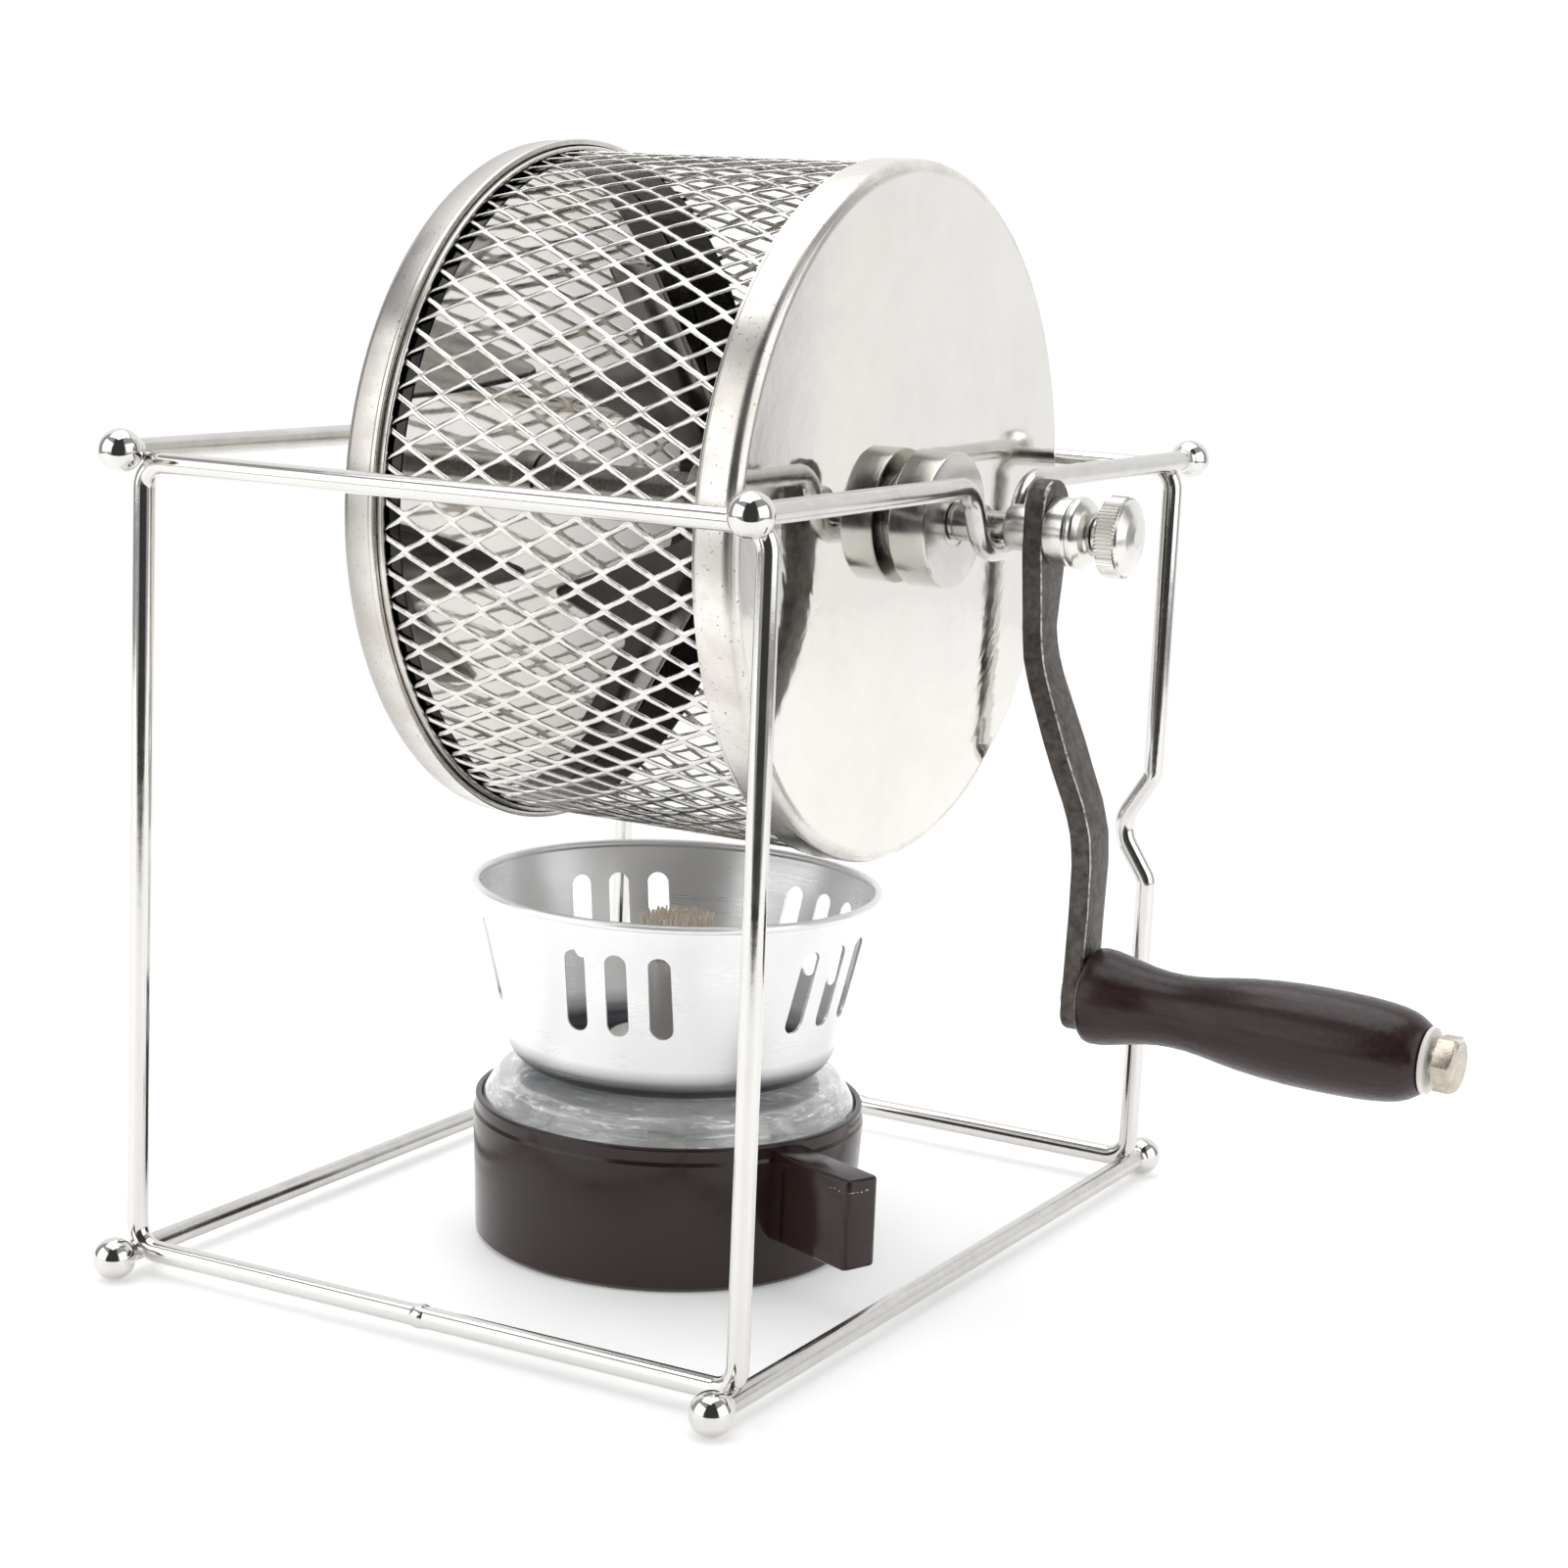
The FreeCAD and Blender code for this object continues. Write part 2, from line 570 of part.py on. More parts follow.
def crank_arm():
    """Cast bar: flat at the eye, bent outwards, flat again at the grip."""
    half = ARM_WALL / 2
    eye_x = ARM_BACK_STATION + half
    bottom = CRANK_THROW + ARM_BOTTOM
    path = [Vector(eye_x, 0, ARM_TOP + ARM_WALL), Vector(eye_x, 0, -ARM_BEND_UPPER),
            Vector(arm_centreline_x(ARM_BEND_LOWER), 0, -ARM_BEND_LOWER),
            Vector(arm_centreline_x(bottom + ARM_WALL), 0, -bottom - ARM_WALL)]
    runs = [(path[i + 1] - path[i]).normalize() for i in range(3)]
    sides = [Vector(-run.z, 0, run.x) for run in runs]
    outline = []
    for sign, order in ((1, (0, 1, 2, 3)), (-1, (3, 2, 1, 0))):
        for index in order:
            if index in (0, 3):
                point = path[index] + sides[min(index, 2)] * half * sign
                outline.append((point.x, point.z, 0))
                continue
            miter = (sides[index - 1] + sides[index]).normalize()
            reach = half / miter.dot(sides[index])
            point = path[index] + miter * reach * sign
            turn = sides[index - 1].cross(sides[index]).y
            bend = ARM_BEND_R + (half if turn * sign > 0 else -half)
            outline.append((point.x, point.z, bend))
    depth = ARM_EYE_WIDTH * 2
    side_face = Part.Face(rounded_wire(outline, lambda a, b: Vector(a, -depth / 2, b)))
    bar = side_face.extrude(AXIS_Y * depth)
    half_front = [
        (ARM_EYE_WIDTH / 2, ARM_TOP, ARM_EYE_WIDTH / 2 - 0.3),
        (ARM_EYE_WIDTH / 2, -ARM_EYE_DEPTH, ARM_EYE_R),
        (ARM_WAIST_WIDTH / 2, -ARM_WAIST_DEPTH, ARM_WAIST_R),
        (ARM_BELLY_WIDTH / 2, -ARM_BELLY_DEPTH, ARM_BELLY_R),
        (ARM_FOOT_WIDTH / 2 - 0.3, -ARM_SHIN_DEPTH, ARM_SHIN_R),
        (ARM_FOOT_WIDTH / 2, -bottom, ARM_FOOT_WIDTH / 2 - 0.3)]
    front = half_front + [(-y, z, r) for y, z, r in reversed(half_front)]
    front_face = Part.Face(rounded_wire(front, lambda a, b: Vector(ARM_BACK_STATION - 5, a, b)))
    arm = bar.common(front_face.extrude(AXIS_X * (ARM_OFFSET + ARM_WALL + 10)))
    arm = arm.cut(rod_on_x(STUD_D / 2, HUB_FACE_STATION, NUT_END_STATION))
    arm = on_shaft(arm)
    return arm.cut(grip_place(rod_on_x(BOLT_D / 2, -ARM_WALL * 2, ARM_WALL * 2)))


def clamp_nut():
    """Turned nut: barrel against the arm, then a rounded bead, bored for both screws."""
    start = ARM_FRONT_STATION
    step = start + STUD_IN_NUT
    barrel_end = start + NUT_BARREL_LENGTH
    bore = THUMB_SHANK_D / 2 + RUNNING_GAP
    return turned_on_x([
        (start, STUD_D / 2, 0), (start, NUT_D / 2, 0.5), (barrel_end, NUT_D / 2, 0),
        (barrel_end + 0.4, NUT_D / 2 - 0.5, 0), (barrel_end + 0.8, NUT_BEAD_D / 2, 0.4),
        (NUT_END_STATION - 1.4, NUT_BEAD_D / 2, 1.2), (NUT_END_STATION, NUT_NOSE_D / 2, 0),
        (NUT_END_STATION, bore, 0), (step, bore, 0), (step, STUD_D / 2, 0)])


def thumb_screw():
    """Round-headed screw in the clamp nut."""
    shank_start = NUT_END_STATION - THUMB_SHANK_LENGTH
    neck_start = NUT_END_STATION + FREE_GAP / 2
    head_start = neck_start + THUMB_NECK_LENGTH
    rim_end = head_start + THUMB_HEAD_LENGTH
    tip = rim_end + THUMB_DOME
    dome_r = THUMB_HEAD_D * 0.24
    return turned_on_x([
        (shank_start, 0, 0), (shank_start, THUMB_SHANK_D / 2, 0.4),
        (neck_start, THUMB_SHANK_D / 2, 0), (neck_start, THUMB_NECK_D / 2, 0.4),
        (head_start, THUMB_NECK_D / 2, 0), (head_start, THUMB_HEAD_D / 2, 0.7),
        (rim_end, THUMB_HEAD_D / 2, 1.3), (tip, dome_r, 1.6), (tip, 0, 0)])


def grip():
    """Turned wooden grip, bored to run on its bolt."""
    start = ARM_WALL / 2 + FREE_GAP
    end = start + GRIP_LENGTH
    bore = BOLT_D / 2 + RUNNING_GAP
    profile = [(0.0, GRIP_BEAD_R - 1.1), (0.04, GRIP_BEAD_R), (0.09, GRIP_BEAD_R - 0.25),
               (0.28, GRIP_WAIST_R), (0.45, (GRIP_WAIST_R + GRIP_BELLY_R) / 2 + 0.2),
               (0.72, GRIP_BELLY_R), (0.87, GRIP_BELLY_R - 0.35), (0.95, GRIP_BELLY_R - 1.3),
               (0.985, GRIP_END_R + 1.0), (1.0, GRIP_END_R)]
    points = [Vector(start + share * GRIP_LENGTH, 0, radius) for share, radius in profile]
    curve = Part.BSplineCurve()
    curve.interpolate(points)
    closing = Part.makePolygon([points[-1], Vector(end, 0, bore), Vector(start, 0, bore), points[0]])
    face = Part.Face(Part.Wire([curve.toShape()] + closing.Edges))
    return grip_place(face.revolve(ORIGIN, AXIS_X, 360))


def grip_washer():
    start = ARM_WALL / 2 + GRIP_LENGTH + 2 * FREE_GAP
    return grip_place(ring_on_x(WASHER_D / 2, BOLT_D / 2, start, start + WASHER_WALL))


def grip_bolt():
    """Hex bolt through the grip and the arm, its end peened over behind the arm."""
    head_start = ARM_WALL / 2 + GRIP_LENGTH + 2 * FREE_GAP + WASHER_WALL + BARE_SHANK
    head_end = head_start + BOLT_HEAD_LENGTH
    back = -ARM_WALL / 2
    shank = rod_on_x(BOLT_D / 2, back, head_start)
    peen = turned_on_x([(back - PEEN_LENGTH, 0, 0), (back - PEEN_LENGTH, PEEN_D / 2, PEEN_LENGTH * 0.75),
                        (back, PEEN_D / 2, 0), (back, 0, 0)])
    corner_r = BOLT_HEAD_ACROSS_FLATS / math.sqrt(3)
    corners = []
    for index in range(6):
        angle = math.radians(60 * index + BOLT_HEAD_TURN)
        corners.append(Vector(head_start, corner_r * math.cos(angle), corner_r * math.sin(angle)))
    head = Part.Face(Part.makePolygon(corners + corners[:1])).extrude(AXIS_X * BOLT_HEAD_LENGTH)
    chamfer = turned_on_x([(head_start, 0, 0), (head_start, corner_r, 0),
                           (head_end - 0.7, corner_r, 0),
                           (head_end, BOLT_HEAD_ACROSS_FLATS * 0.46, 0), (head_end, 0, 0)])
    return grip_place(shank.fuse([peen, head.common(chamfer)]).removeSplitter())


def drum_parts():
    spacer = ring_on_x(SPACER_D / 2, SHAFT_D / 2, CAP_STATION, HUB_BACK_STATION)
    shapes = {
        "near_cap": near_cap(),
        "mesh_tube": mesh_tube(),
        "mesh_ring": mesh_ring(),
        "shaft": shaft(),
        "hub_spacer": spacer,
        "hub_disc": hub_disc(),
        "spindle": spindle(),
        "stop_collar": stop_collar(),
        "grub_screw": grub_screw(),
        "stirrer_hub": stirrer_hub(),
        "stirring_vanes": stirring_vanes(),
        "far_lid": far_lid(),
        "lid_bush": lid_bush(),
        "clamp_nut": clamp_nut(),
        "thumb_screw": thumb_screw(),
    }
    placed = {name: on_shaft(shape) for name, shape in shapes.items()}
    placed["crank_arm"] = crank_arm()
    placed["grip"] = grip()
    placed["grip_washer"] = grip_washer()
    placed["grip_bolt"] = grip_bolt()
    return placed


# ---------------------------------------------------------------- burner

def burner_base():
    """Moulded cup that holds the font, with a side handle."""
    lip_z = BASE_HEIGHT - BASE_LIP_HEIGHT
    lip_r = BASE_RIM_R - BASE_LIP_STEP
    outer = [(0, 0, 0), (BASE_FOOT_R, 0, 0.8), (BASE_RIM_R, lip_z, 0), (lip_r, lip_z, 0),
             (lip_r, BASE_HEIGHT, 0.4), (0, BASE_HEIGHT, 0)]
    hollow = turned_on_z([(0, BASE_FLOOR, 0), (BASE_INNER_FOOT_R, BASE_FLOOR, 1.0),
                          (BASE_INNER_RIM_R - BASE_LIP_STEP, BASE_HEIGHT + 1, 0),
                          (0, BASE_HEIGHT + 1, 0)])
    handle_height = HANDLE_TOP - HANDLE_BOTTOM
    handle = Part.makeBox(HANDLE_REACH, HANDLE_WIDTH, handle_height,
                          Vector(0, -HANDLE_WIDTH / 2, HANDLE_BOTTOM))
    outer_edges = [edge for edge in handle.Edges if edge.CenterOfMass.x > HANDLE_REACH * 0.4
                   and edge.CenterOfMass.z > HANDLE_BOTTOM + 1]
    handle = handle.makeFillet(HANDLE_EDGE_R, outer_edges)
    recess_start = BASE_RIM_R + RECESS_MARGIN
    recess_top = HANDLE_TOP - RECESS_MARGIN
    recess_low = HANDLE_BOTTOM - 1
    arch = rounded_wire([
        (recess_start, recess_low, 0), (recess_start, recess_top, 0),
        (recess_start + RECESS_LENGTH, recess_top, RECESS_LENGTH * 0.6),
        (recess_start + RECESS_LENGTH, recess_low, 0)], lambda a, b: Vector(a, 0, b))
    for side in (-1, 1):
        pocket = Part.Face(arch).extrude(AXIS_Y * side * RECESS_DEPTH * 2)
        pocket.translate(AXIS_Y * side * (HANDLE_WIDTH / 2 - RECESS_DEPTH))
        handle = handle.cut(pocket)
    handle.rotate(ORIGIN, AXIS_Z, HANDLE_ANGLE)
    return turned_on_z(outer).fuse(handle).cut(hollow).removeSplitter()


def glass_font():
    """Pressed-glass bottle with a flat shoulder and a short open neck."""
    foot_r = BASE_INNER_FOOT_R - FREE_GAP
    rim_r = BASE_INNER_RIM_R - BASE_LIP_STEP - FREE_GAP
    wall = FONT_WALL
    top = FONT_TOP_Z
    return turned_on_z([
        (0, BASE_FLOOR, 0), (foot_r, BASE_FLOOR, 1.6), (rim_r, BASE_HEIGHT, 3),
        (rim_r - 3.2, top - 1.6, 4), (rim_r - 9, top, 6), (FONT_NECK_R, top, 0.6),
        (FONT_NECK_R, FONT_MOUTH_Z, 0.8), (FONT_MOUTH_R, FONT_MOUTH_Z, 0.4),
        (FONT_MOUTH_R, top - wall, 0.8), (rim_r - 9 - wall, top - wall, 4),
        (rim_r - 3.2 - wall, top - 1.6 - wall, 3), (rim_r - wall, BASE_HEIGHT - wall, 2),
        (foot_r - wall, BASE_FLOOR + FONT_FLOOR, 2), (0, BASE_FLOOR + FONT_FLOOR, 0)])


def wick_holder():
    """Metal cap on the font's mouth, with a plug below and the wick's tube above."""
    plug_r = FONT_MOUTH_R - RUNNING_GAP
    plug_z = FONT_MOUTH_Z - HOLDER_PLUG_DEPTH
    tube_z = HOLDER_TOP_Z + HOLDER_TUBE_RISE
    return turned_on_z([
        (WICK_R, plug_z, 0), (plug_r, plug_z, 0.5), (plug_r, FONT_MOUTH_Z, 0),
        (HOLDER_CAP_R, FONT_MOUTH_Z, 0.3), (HOLDER_CAP_R, HOLDER_TOP_Z, 0.5),
        (HOLDER_TUBE_R, HOLDER_TOP_Z, 0), (HOLDER_TUBE_R, tube_z, 0), (WICK_R, tube_z, 0)])


def wick():
    """Cotton wick: tail in the font, straight through the holder, frayed head above it."""
    tail_z = BASE_FLOOR + FONT_FLOOR + WICK_TAIL_GAP
    tube_z = HOLDER_TOP_Z + HOLDER_TUBE_RISE
    head_z = tube_z + WICK_HEAD_RISE
    return turned_on_z([
        (0, tail_z, 0), (WICK_R, tail_z, 1), (WICK_R, tube_z, 0), (WICK_HEAD_R, tube_z + 3, 2),
        (WICK_HEAD_R, head_z, 2), (0, head_z, 0)])


def windshield():
    """Spun cup round the flame, with groups of upright slots and a rolled rim."""
    low = SHIELD_BASE_Z
    top = low + SHIELD_HEIGHT
    hole_r = FONT_NECK_R + FREE_GAP
    slope = (SHIELD_RIM_R - SHIELD_FLOOR_R) / SHIELD_HEIGHT
    wall = SHIELD_WALL
    cup = turned_on_z([
        (hole_r, low, 0), (SHIELD_FLOOR_R, low, SHIELD_FLOOR_EDGE_R), (SHIELD_RIM_R, top, 0),
        (SHIELD_RIM_R - wall, top, 0),
        (SHIELD_FLOOR_R - wall + slope * wall, low + wall, SHIELD_FLOOR_EDGE_R - wall),
        (hole_r, low + wall, 0)])
    bead_r = SHIELD_RIM_R - wall / 2
    bead = Part.makeTorus(bead_r, SHIELD_BEAD_R, Vector(0, 0, top), AXIS_Z)
    half_slot = SLOT_WIDTH / 2
    slot_low = low + SLOT_BOTTOM
    slot_high = slot_low + SLOT_LENGTH
    slots = []
    for group in range(SLOT_GROUPS):
        for place in range(SLOTS_IN_GROUP):
            offset = (place - (SLOTS_IN_GROUP - 1) / 2) * SLOT_SPACING
            wire = rounded_wire([
                (-half_slot, slot_low, half_slot * 0.99), (half_slot, slot_low, half_slot * 0.99),
                (half_slot, slot_high, half_slot * 0.99), (-half_slot, slot_high, half_slot * 0.99)],
                lambda a, b: Vector(SHIELD_FLOOR_R - 5, a + offset, b))
            slot = Part.Face(wire).extrude(AXIS_X * (SHIELD_RIM_R - SHIELD_FLOOR_R + 10))
            slot.rotate(ORIGIN, AXIS_Z, SLOT_FIRST_ANGLE + group * 360 / SLOT_GROUPS)
            slots.append(slot)
    return cup.fuse(bead).cut(Part.makeCompound(slots))


def burner_parts():
    return {
        "burner_base": burner_base(),
        "glass_font": glass_font(),
        "wick_holder": wick_holder(),
        "wick": wick(),
        "windshield": windshield(),
    }


def main():
    os.makedirs("parts", exist_ok=True)
    for name, shape in {**stand_parts(), **drum_parts(), **burner_parts()}.items():
        shape.exportStep("parts/" + name + ".step")
        box = shape.BoundBox
        print(name, "solids", len(shape.Solids), "valid", shape.isValid(),
              "volume %.1f" % shape.Volume, "x %.1f..%.1f y %.1f..%.1f z %.1f..%.1f" % (
                  box.XMin, box.XMax, box.YMin, box.YMax, box.ZMin, box.ZMax))


main()
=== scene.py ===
"""Stovetop coffee bean roaster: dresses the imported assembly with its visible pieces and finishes.

Each operator models one piece, or one group of like pieces, round the CAD frame. The frame's
coordinates are in metres, and sizes typed in millimetres go through mm(). Profiles and outlines are
lists of corners in millimetres. Stations along the shaft are counted from the middle of the stand.
"""

import json
import math
import random

import bpy
from bpy.props import FloatProperty, FloatVectorProperty, IntProperty, PointerProperty
from mathutils import Matrix, Vector


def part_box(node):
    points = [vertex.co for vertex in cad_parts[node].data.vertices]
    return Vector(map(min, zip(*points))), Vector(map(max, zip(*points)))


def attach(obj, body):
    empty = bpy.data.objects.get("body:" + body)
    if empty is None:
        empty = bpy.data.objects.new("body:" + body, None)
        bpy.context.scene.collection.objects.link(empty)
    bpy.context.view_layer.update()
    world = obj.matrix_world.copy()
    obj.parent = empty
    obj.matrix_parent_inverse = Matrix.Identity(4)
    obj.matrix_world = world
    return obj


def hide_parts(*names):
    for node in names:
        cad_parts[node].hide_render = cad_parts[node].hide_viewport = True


bl_info = {
    "name": "Coffee Roaster Looks",
    "version": (1, 0, 0),
    "blender": (4, 5, 0),
    "location": "View3D > Sidebar > Roaster",
    "description": "Visible pieces and finishes of a hand-cranked coffee bean roaster",
    "category": "Object",
}

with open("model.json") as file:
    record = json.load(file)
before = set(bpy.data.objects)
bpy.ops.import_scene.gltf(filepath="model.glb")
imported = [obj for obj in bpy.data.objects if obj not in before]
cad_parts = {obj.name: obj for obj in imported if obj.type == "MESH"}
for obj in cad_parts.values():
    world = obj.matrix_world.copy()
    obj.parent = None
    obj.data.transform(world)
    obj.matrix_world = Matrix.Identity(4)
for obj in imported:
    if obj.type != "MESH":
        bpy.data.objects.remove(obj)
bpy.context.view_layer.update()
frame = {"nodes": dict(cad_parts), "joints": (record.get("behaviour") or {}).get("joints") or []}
TAU = 2 * math.pi
X, Y, Z = Vector((1, 0, 0)), Vector((0, 1, 0)), Vector((0, 0, 1))
ORIGIN = Vector((0, 0, 0))


def mm(value):
    """Millimetres, or a sequence of them, in metres."""
    if isinstance(value, (int, float)):
        return value * 0.001
    return [v * 0.001 for v in value]


def centre(node):
    low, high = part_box(node)
    return (low + high) / 2


SHAFT = Vector((centre("foot_balls").x, centre("hub_disc").y, centre("hub_disc").z))
STAND = Vector((centre("foot_balls").x, centre("foot_balls").y, 0))
BALL_D = mm(8.5)
ROD_X = centre("right_foot_rod").x - STAND.x
ROD_Y = centre("foot_balls").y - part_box("foot_balls")[0].y - BALL_D / 2
LOW_ROD_Z = centre("foot_balls").z
HIGH_ROD_Z = centre("upper_balls").z
GRIP_JOINT = next(j for j in frame["joints"] if j["name"] == "grip_spin")
GRIP_POINT = Vector(GRIP_JOINT["pos_m"])
GRIP_LEAN = math.atan2(-GRIP_JOINT["axis"][2], GRIP_JOINT["axis"][0])

# Radii and places that several pieces share, in millimetres
SHAFT_R = 4.5
JOURNAL_R = 2.75
STUD_R = 3.0
LID_BORE_R = 4.55
CAP_FACE = 50.0
DISC_START = 51.8
DISC_FACE = 59.8
ARM_FACE = 81.4
STUD_END = 83.7
LID_FACE = -37.1
BAND_START = -36.1
BASE_TOP_Z = 30.4
NECK_TOP_Z = 41.5
WICK_R = 4.8


# ---------------------------------------------------------------- settings

def length(name, description, default, low=0.0, high=1.0):
    return FloatProperty(name=name, description=description, default=default, min=low, max=high,
                         unit="LENGTH", precision=5)


def colour(name, description, default):
    return FloatVectorProperty(name=name, description=description, default=default,
                               size=3, min=0.0, max=1.0, subtype="COLOR")


class StandSettings(bpy.types.PropertyGroup):
    """Sizes of the wire stand"""

    wire: length("Wire", "Diameter of the stand's wire", mm(4.3))
    ball: length("Ball", "Diameter of the balls on the rods' ends", BALL_D)
    bend: length("Bend", "Centre-line radius of the loops' corners", mm(5.0))
    kink: length("Kink", "How far the middle corner of the rear right post's bend stands in", mm(7.5))
    chrome: colour("Chrome", "Colour of the plated wire", (0.74, 0.725, 0.70))


class DrumSettings(bpy.types.PropertyGroup):
    """Sizes of the drum and its mesh"""

    cap_radius: length("Cap radius", "Radius of the near cap", mm(69.5))
    mesh_radius: length("Mesh radius", "Outside radius of the mesh", mm(68.4))
    cell_length: length("Cell length", "Length of a mesh cell along the shaft", mm(11.2))
    cells: IntProperty(name="Cells", description="Mesh cells round the drum", default=63,
                       min=12, max=120)
    strand: length("Strand", "Width of a mesh strand", mm(0.76))
    thickness: length("Thickness", "Thickness of the mesh", mm(0.5))
    tilt: length("Tilt", "How far a strand's edges lean out of the mesh's surface", mm(0.2))
    steel: colour("Steel", "Colour of the caps and the mesh", (0.79, 0.77, 0.735))


class CrankSettings(bpy.types.PropertyGroup):
    """Sizes of the crank, its nut and its grip"""

    arm_thickness: length("Arm thickness", "Thickness of the cast arm", mm(4.2))
    knurls: IntProperty(name="Knurls", description="Ridges round the thumb screw", default=64,
                        min=12, max=90)
    iron: colour("Iron", "Colour of the cast arm", (0.062, 0.055, 0.050))
    lacquer: colour("Lacquer", "Colour of the grip", (0.019, 0.008, 0.009))


class BurnerSettings(bpy.types.PropertyGroup):
    """Sizes of the alcohol burner"""

    foot_radius: length("Foot radius", "Radius of the base at the table", mm(39.9))
    rim_radius: length("Rim radius", "Radius of the base at its rim", mm(41.1))
    fibres: IntProperty(name="Fibres", description="Loose fibres on the wick's head", default=420,
                        min=0, max=900)
    resin: colour("Resin", "Colour of the moulded base", (0.022, 0.011, 0.0095))


class StageSettings(bpy.types.PropertyGroup):
    """Light, floor and camera"""

    lens: FloatProperty(name="Lens", description="Focal length", default=72.8, min=20, max=200,
                        unit="CAMERA")
    floor: colour("Floor", "Colour of the floor", (0.93, 0.93, 0.93))


# ---------------------------------------------------------------- modelling helpers

def object_mode():
    if bpy.context.object and bpy.context.object.mode != "OBJECT":
        bpy.ops.object.mode_set(mode="OBJECT")
    bpy.ops.object.select_all(action="DESELECT")


def edit_mode():
    bpy.context.tool_settings.mesh_select_mode = (True, False, False)
    bpy.ops.object.mode_set(mode="EDIT")
    bpy.ops.mesh.select_all(action="SELECT")


def settle():
    """Applies the active object's place, so that its mesh holds it."""
    bpy.ops.object.transform_apply(location=True, rotation=True, scale=True)


def clean(threshold=1e-6):
    """Merges doubles and turns the faces outwards, in edit mode."""
    bpy.ops.mesh.select_all(action="SELECT")
    bpy.ops.mesh.remove_doubles(threshold=threshold)
    bpy.ops.mesh.normals_make_consistent(inside=False)


def single_point(place):
    """New mesh object in edit mode with one selected vertex."""
    object_mode()
    bpy.ops.mesh.primitive_plane_add(size=0.01)
    edit_mode()
    bpy.ops.mesh.merge(type="CENTER")
    bpy.ops.transform.translate(value=place)
    return bpy.context.object


def draw(points, closed=False):
    """New mesh object in edit mode with a line through points."""
    obj = single_point(points[0])
    route = list(points[1:]) + ([points[0]] if closed else [])
    here = Vector(points[0])
    for point in route:
        bpy.ops.mesh.extrude_vertices_move(TRANSFORM_OT_translate={"value": Vector(point) - here})
        here = Vector(point)
    bpy.ops.mesh.select_all(action="SELECT")
    if closed:
        bpy.ops.mesh.remove_doubles(threshold=1e-7)
    return obj


def rounded(corners, arc=4, closed=False):
    """Outline through (a, b, radius) corners, in millimetres, with its corners rounded."""
    outline = []
    count = len(corners)
    for index, (a, b, radius) in enumerate(corners):
        corner = Vector((a, b))
        if radius <= 0 or (not closed and index in (0, count - 1)):
            outline.append((a, b))
            continue
        back = (Vector(corners[index - 1][:2]) - corner).normalized()
        ahead = (Vector(corners[(index + 1) % count][:2]) - corner).normalized()
        half = back.angle(ahead) / 2
        middle = corner + (back + ahead).normalized() * (radius / math.sin(half))
        start = corner + back * (radius / math.tan(half)) - middle
        turn = math.pi - 2 * half
        sign = 1 if back.x * ahead.y - back.y * ahead.x < 0 else -1
        for step in range(arc + 1):
            point = middle + Matrix.Rotation(sign * turn * step / arc, 2) @ start
            outline.append((point.x, point.y))
    return outline


def turned(profile, origin, axis=X, steps=96, closed=False):
    """Revolves (station, radius) points, in millimetres, about an axis through origin."""
    side = Z if axis == X else X
    points = [origin + axis * mm(station) + side * mm(radius) for station, radius in profile]
    obj = draw(points, closed)
    bpy.ops.mesh.spin(steps=steps, angle=TAU, center=origin, axis=axis)
    clean()
    object_mode()
    obj.select_set(True)
    return obj


def bent_wire(points, radii, wire_radius, closed=False, sides=20, arc=9):
    """Round wire along straight runs joined by bends, by extruding and spinning one ring."""
    count = len(points)
    inner = range(count) if closed else range(1, count - 1)
    bends = {}
    for index in inner:
        corner = points[index]
        back = (points[index - 1] - corner).normalized()
        ahead = (points[(index + 1) % count] - corner).normalized()
        half = back.angle(ahead) / 2
        reach = radii[index] / math.tan(half)
        bends[index] = {
            "start": corner + back * reach, "end": corner + ahead * reach,
            "centre": corner + (back + ahead).normalized() * (radii[index] / math.sin(half)),
            "axis": (-back).cross(ahead).normalized(), "turn": math.pi - 2 * half}
    here = bends[0]["end"] if closed else points[0]
    heading = (points[1] - points[0]).normalized()
    object_mode()
    bpy.ops.mesh.primitive_circle_add(vertices=sides, radius=wire_radius, fill_type="NOTHING",
                                      location=here, rotation=heading.to_track_quat("Z", "Y").to_euler())
    settle()
    obj = bpy.context.object
    edit_mode()
    if not closed:
        bpy.ops.mesh.edge_face_add()
    for step in range(1, count + (1 if closed else 0)):
        bend = bends.get(step % count)
        target = bend["start"] if bend else points[step]
        bpy.ops.mesh.extrude_edges_move(TRANSFORM_OT_translate={"value": target - here})
        here = target
        if bend:
            bpy.ops.mesh.spin(steps=arc, angle=-bend["turn"], center=bend["centre"], axis=bend["axis"])
            here = bend["end"]
    if not closed:
        bpy.ops.mesh.edge_face_add()
    clean(1e-5)
    object_mode()
    obj.select_set(True)
    return obj


def joined(first, *others):
    """One object from several."""
    object_mode()
    for obj in (first, *others):
        obj.select_set(True)
    bpy.context.view_layer.objects.active = first
    bpy.ops.object.join()
    return first


def copied(obj, matrix):
    """Copy of obj, with its own mesh, moved by matrix."""
    object_mode()
    obj.select_set(True)
    bpy.context.view_layer.objects.active = obj
    bpy.ops.object.duplicate(linked=False)
    copy = bpy.context.object
    copy.matrix_world = matrix @ copy.matrix_world
    settle()
    return copy


def about(point, degrees, axis):
    """Turn about an axis through point."""
    turn = Matrix.Rotation(math.radians(degrees), 4, axis)
    return Matrix.Translation(point) @ turn @ Matrix.Translation(-point)


def modify(obj, kind, **values):
    """Adds a modifier and applies it."""
    object_mode()
    obj.select_set(True)
    bpy.context.view_layer.objects.active = obj
    modifier = obj.modifiers.new(kind.title(), kind)
    for key, value in values.items():
        setattr(modifier, key, value)
    bpy.ops.object.modifier_apply(modifier=modifier.name)


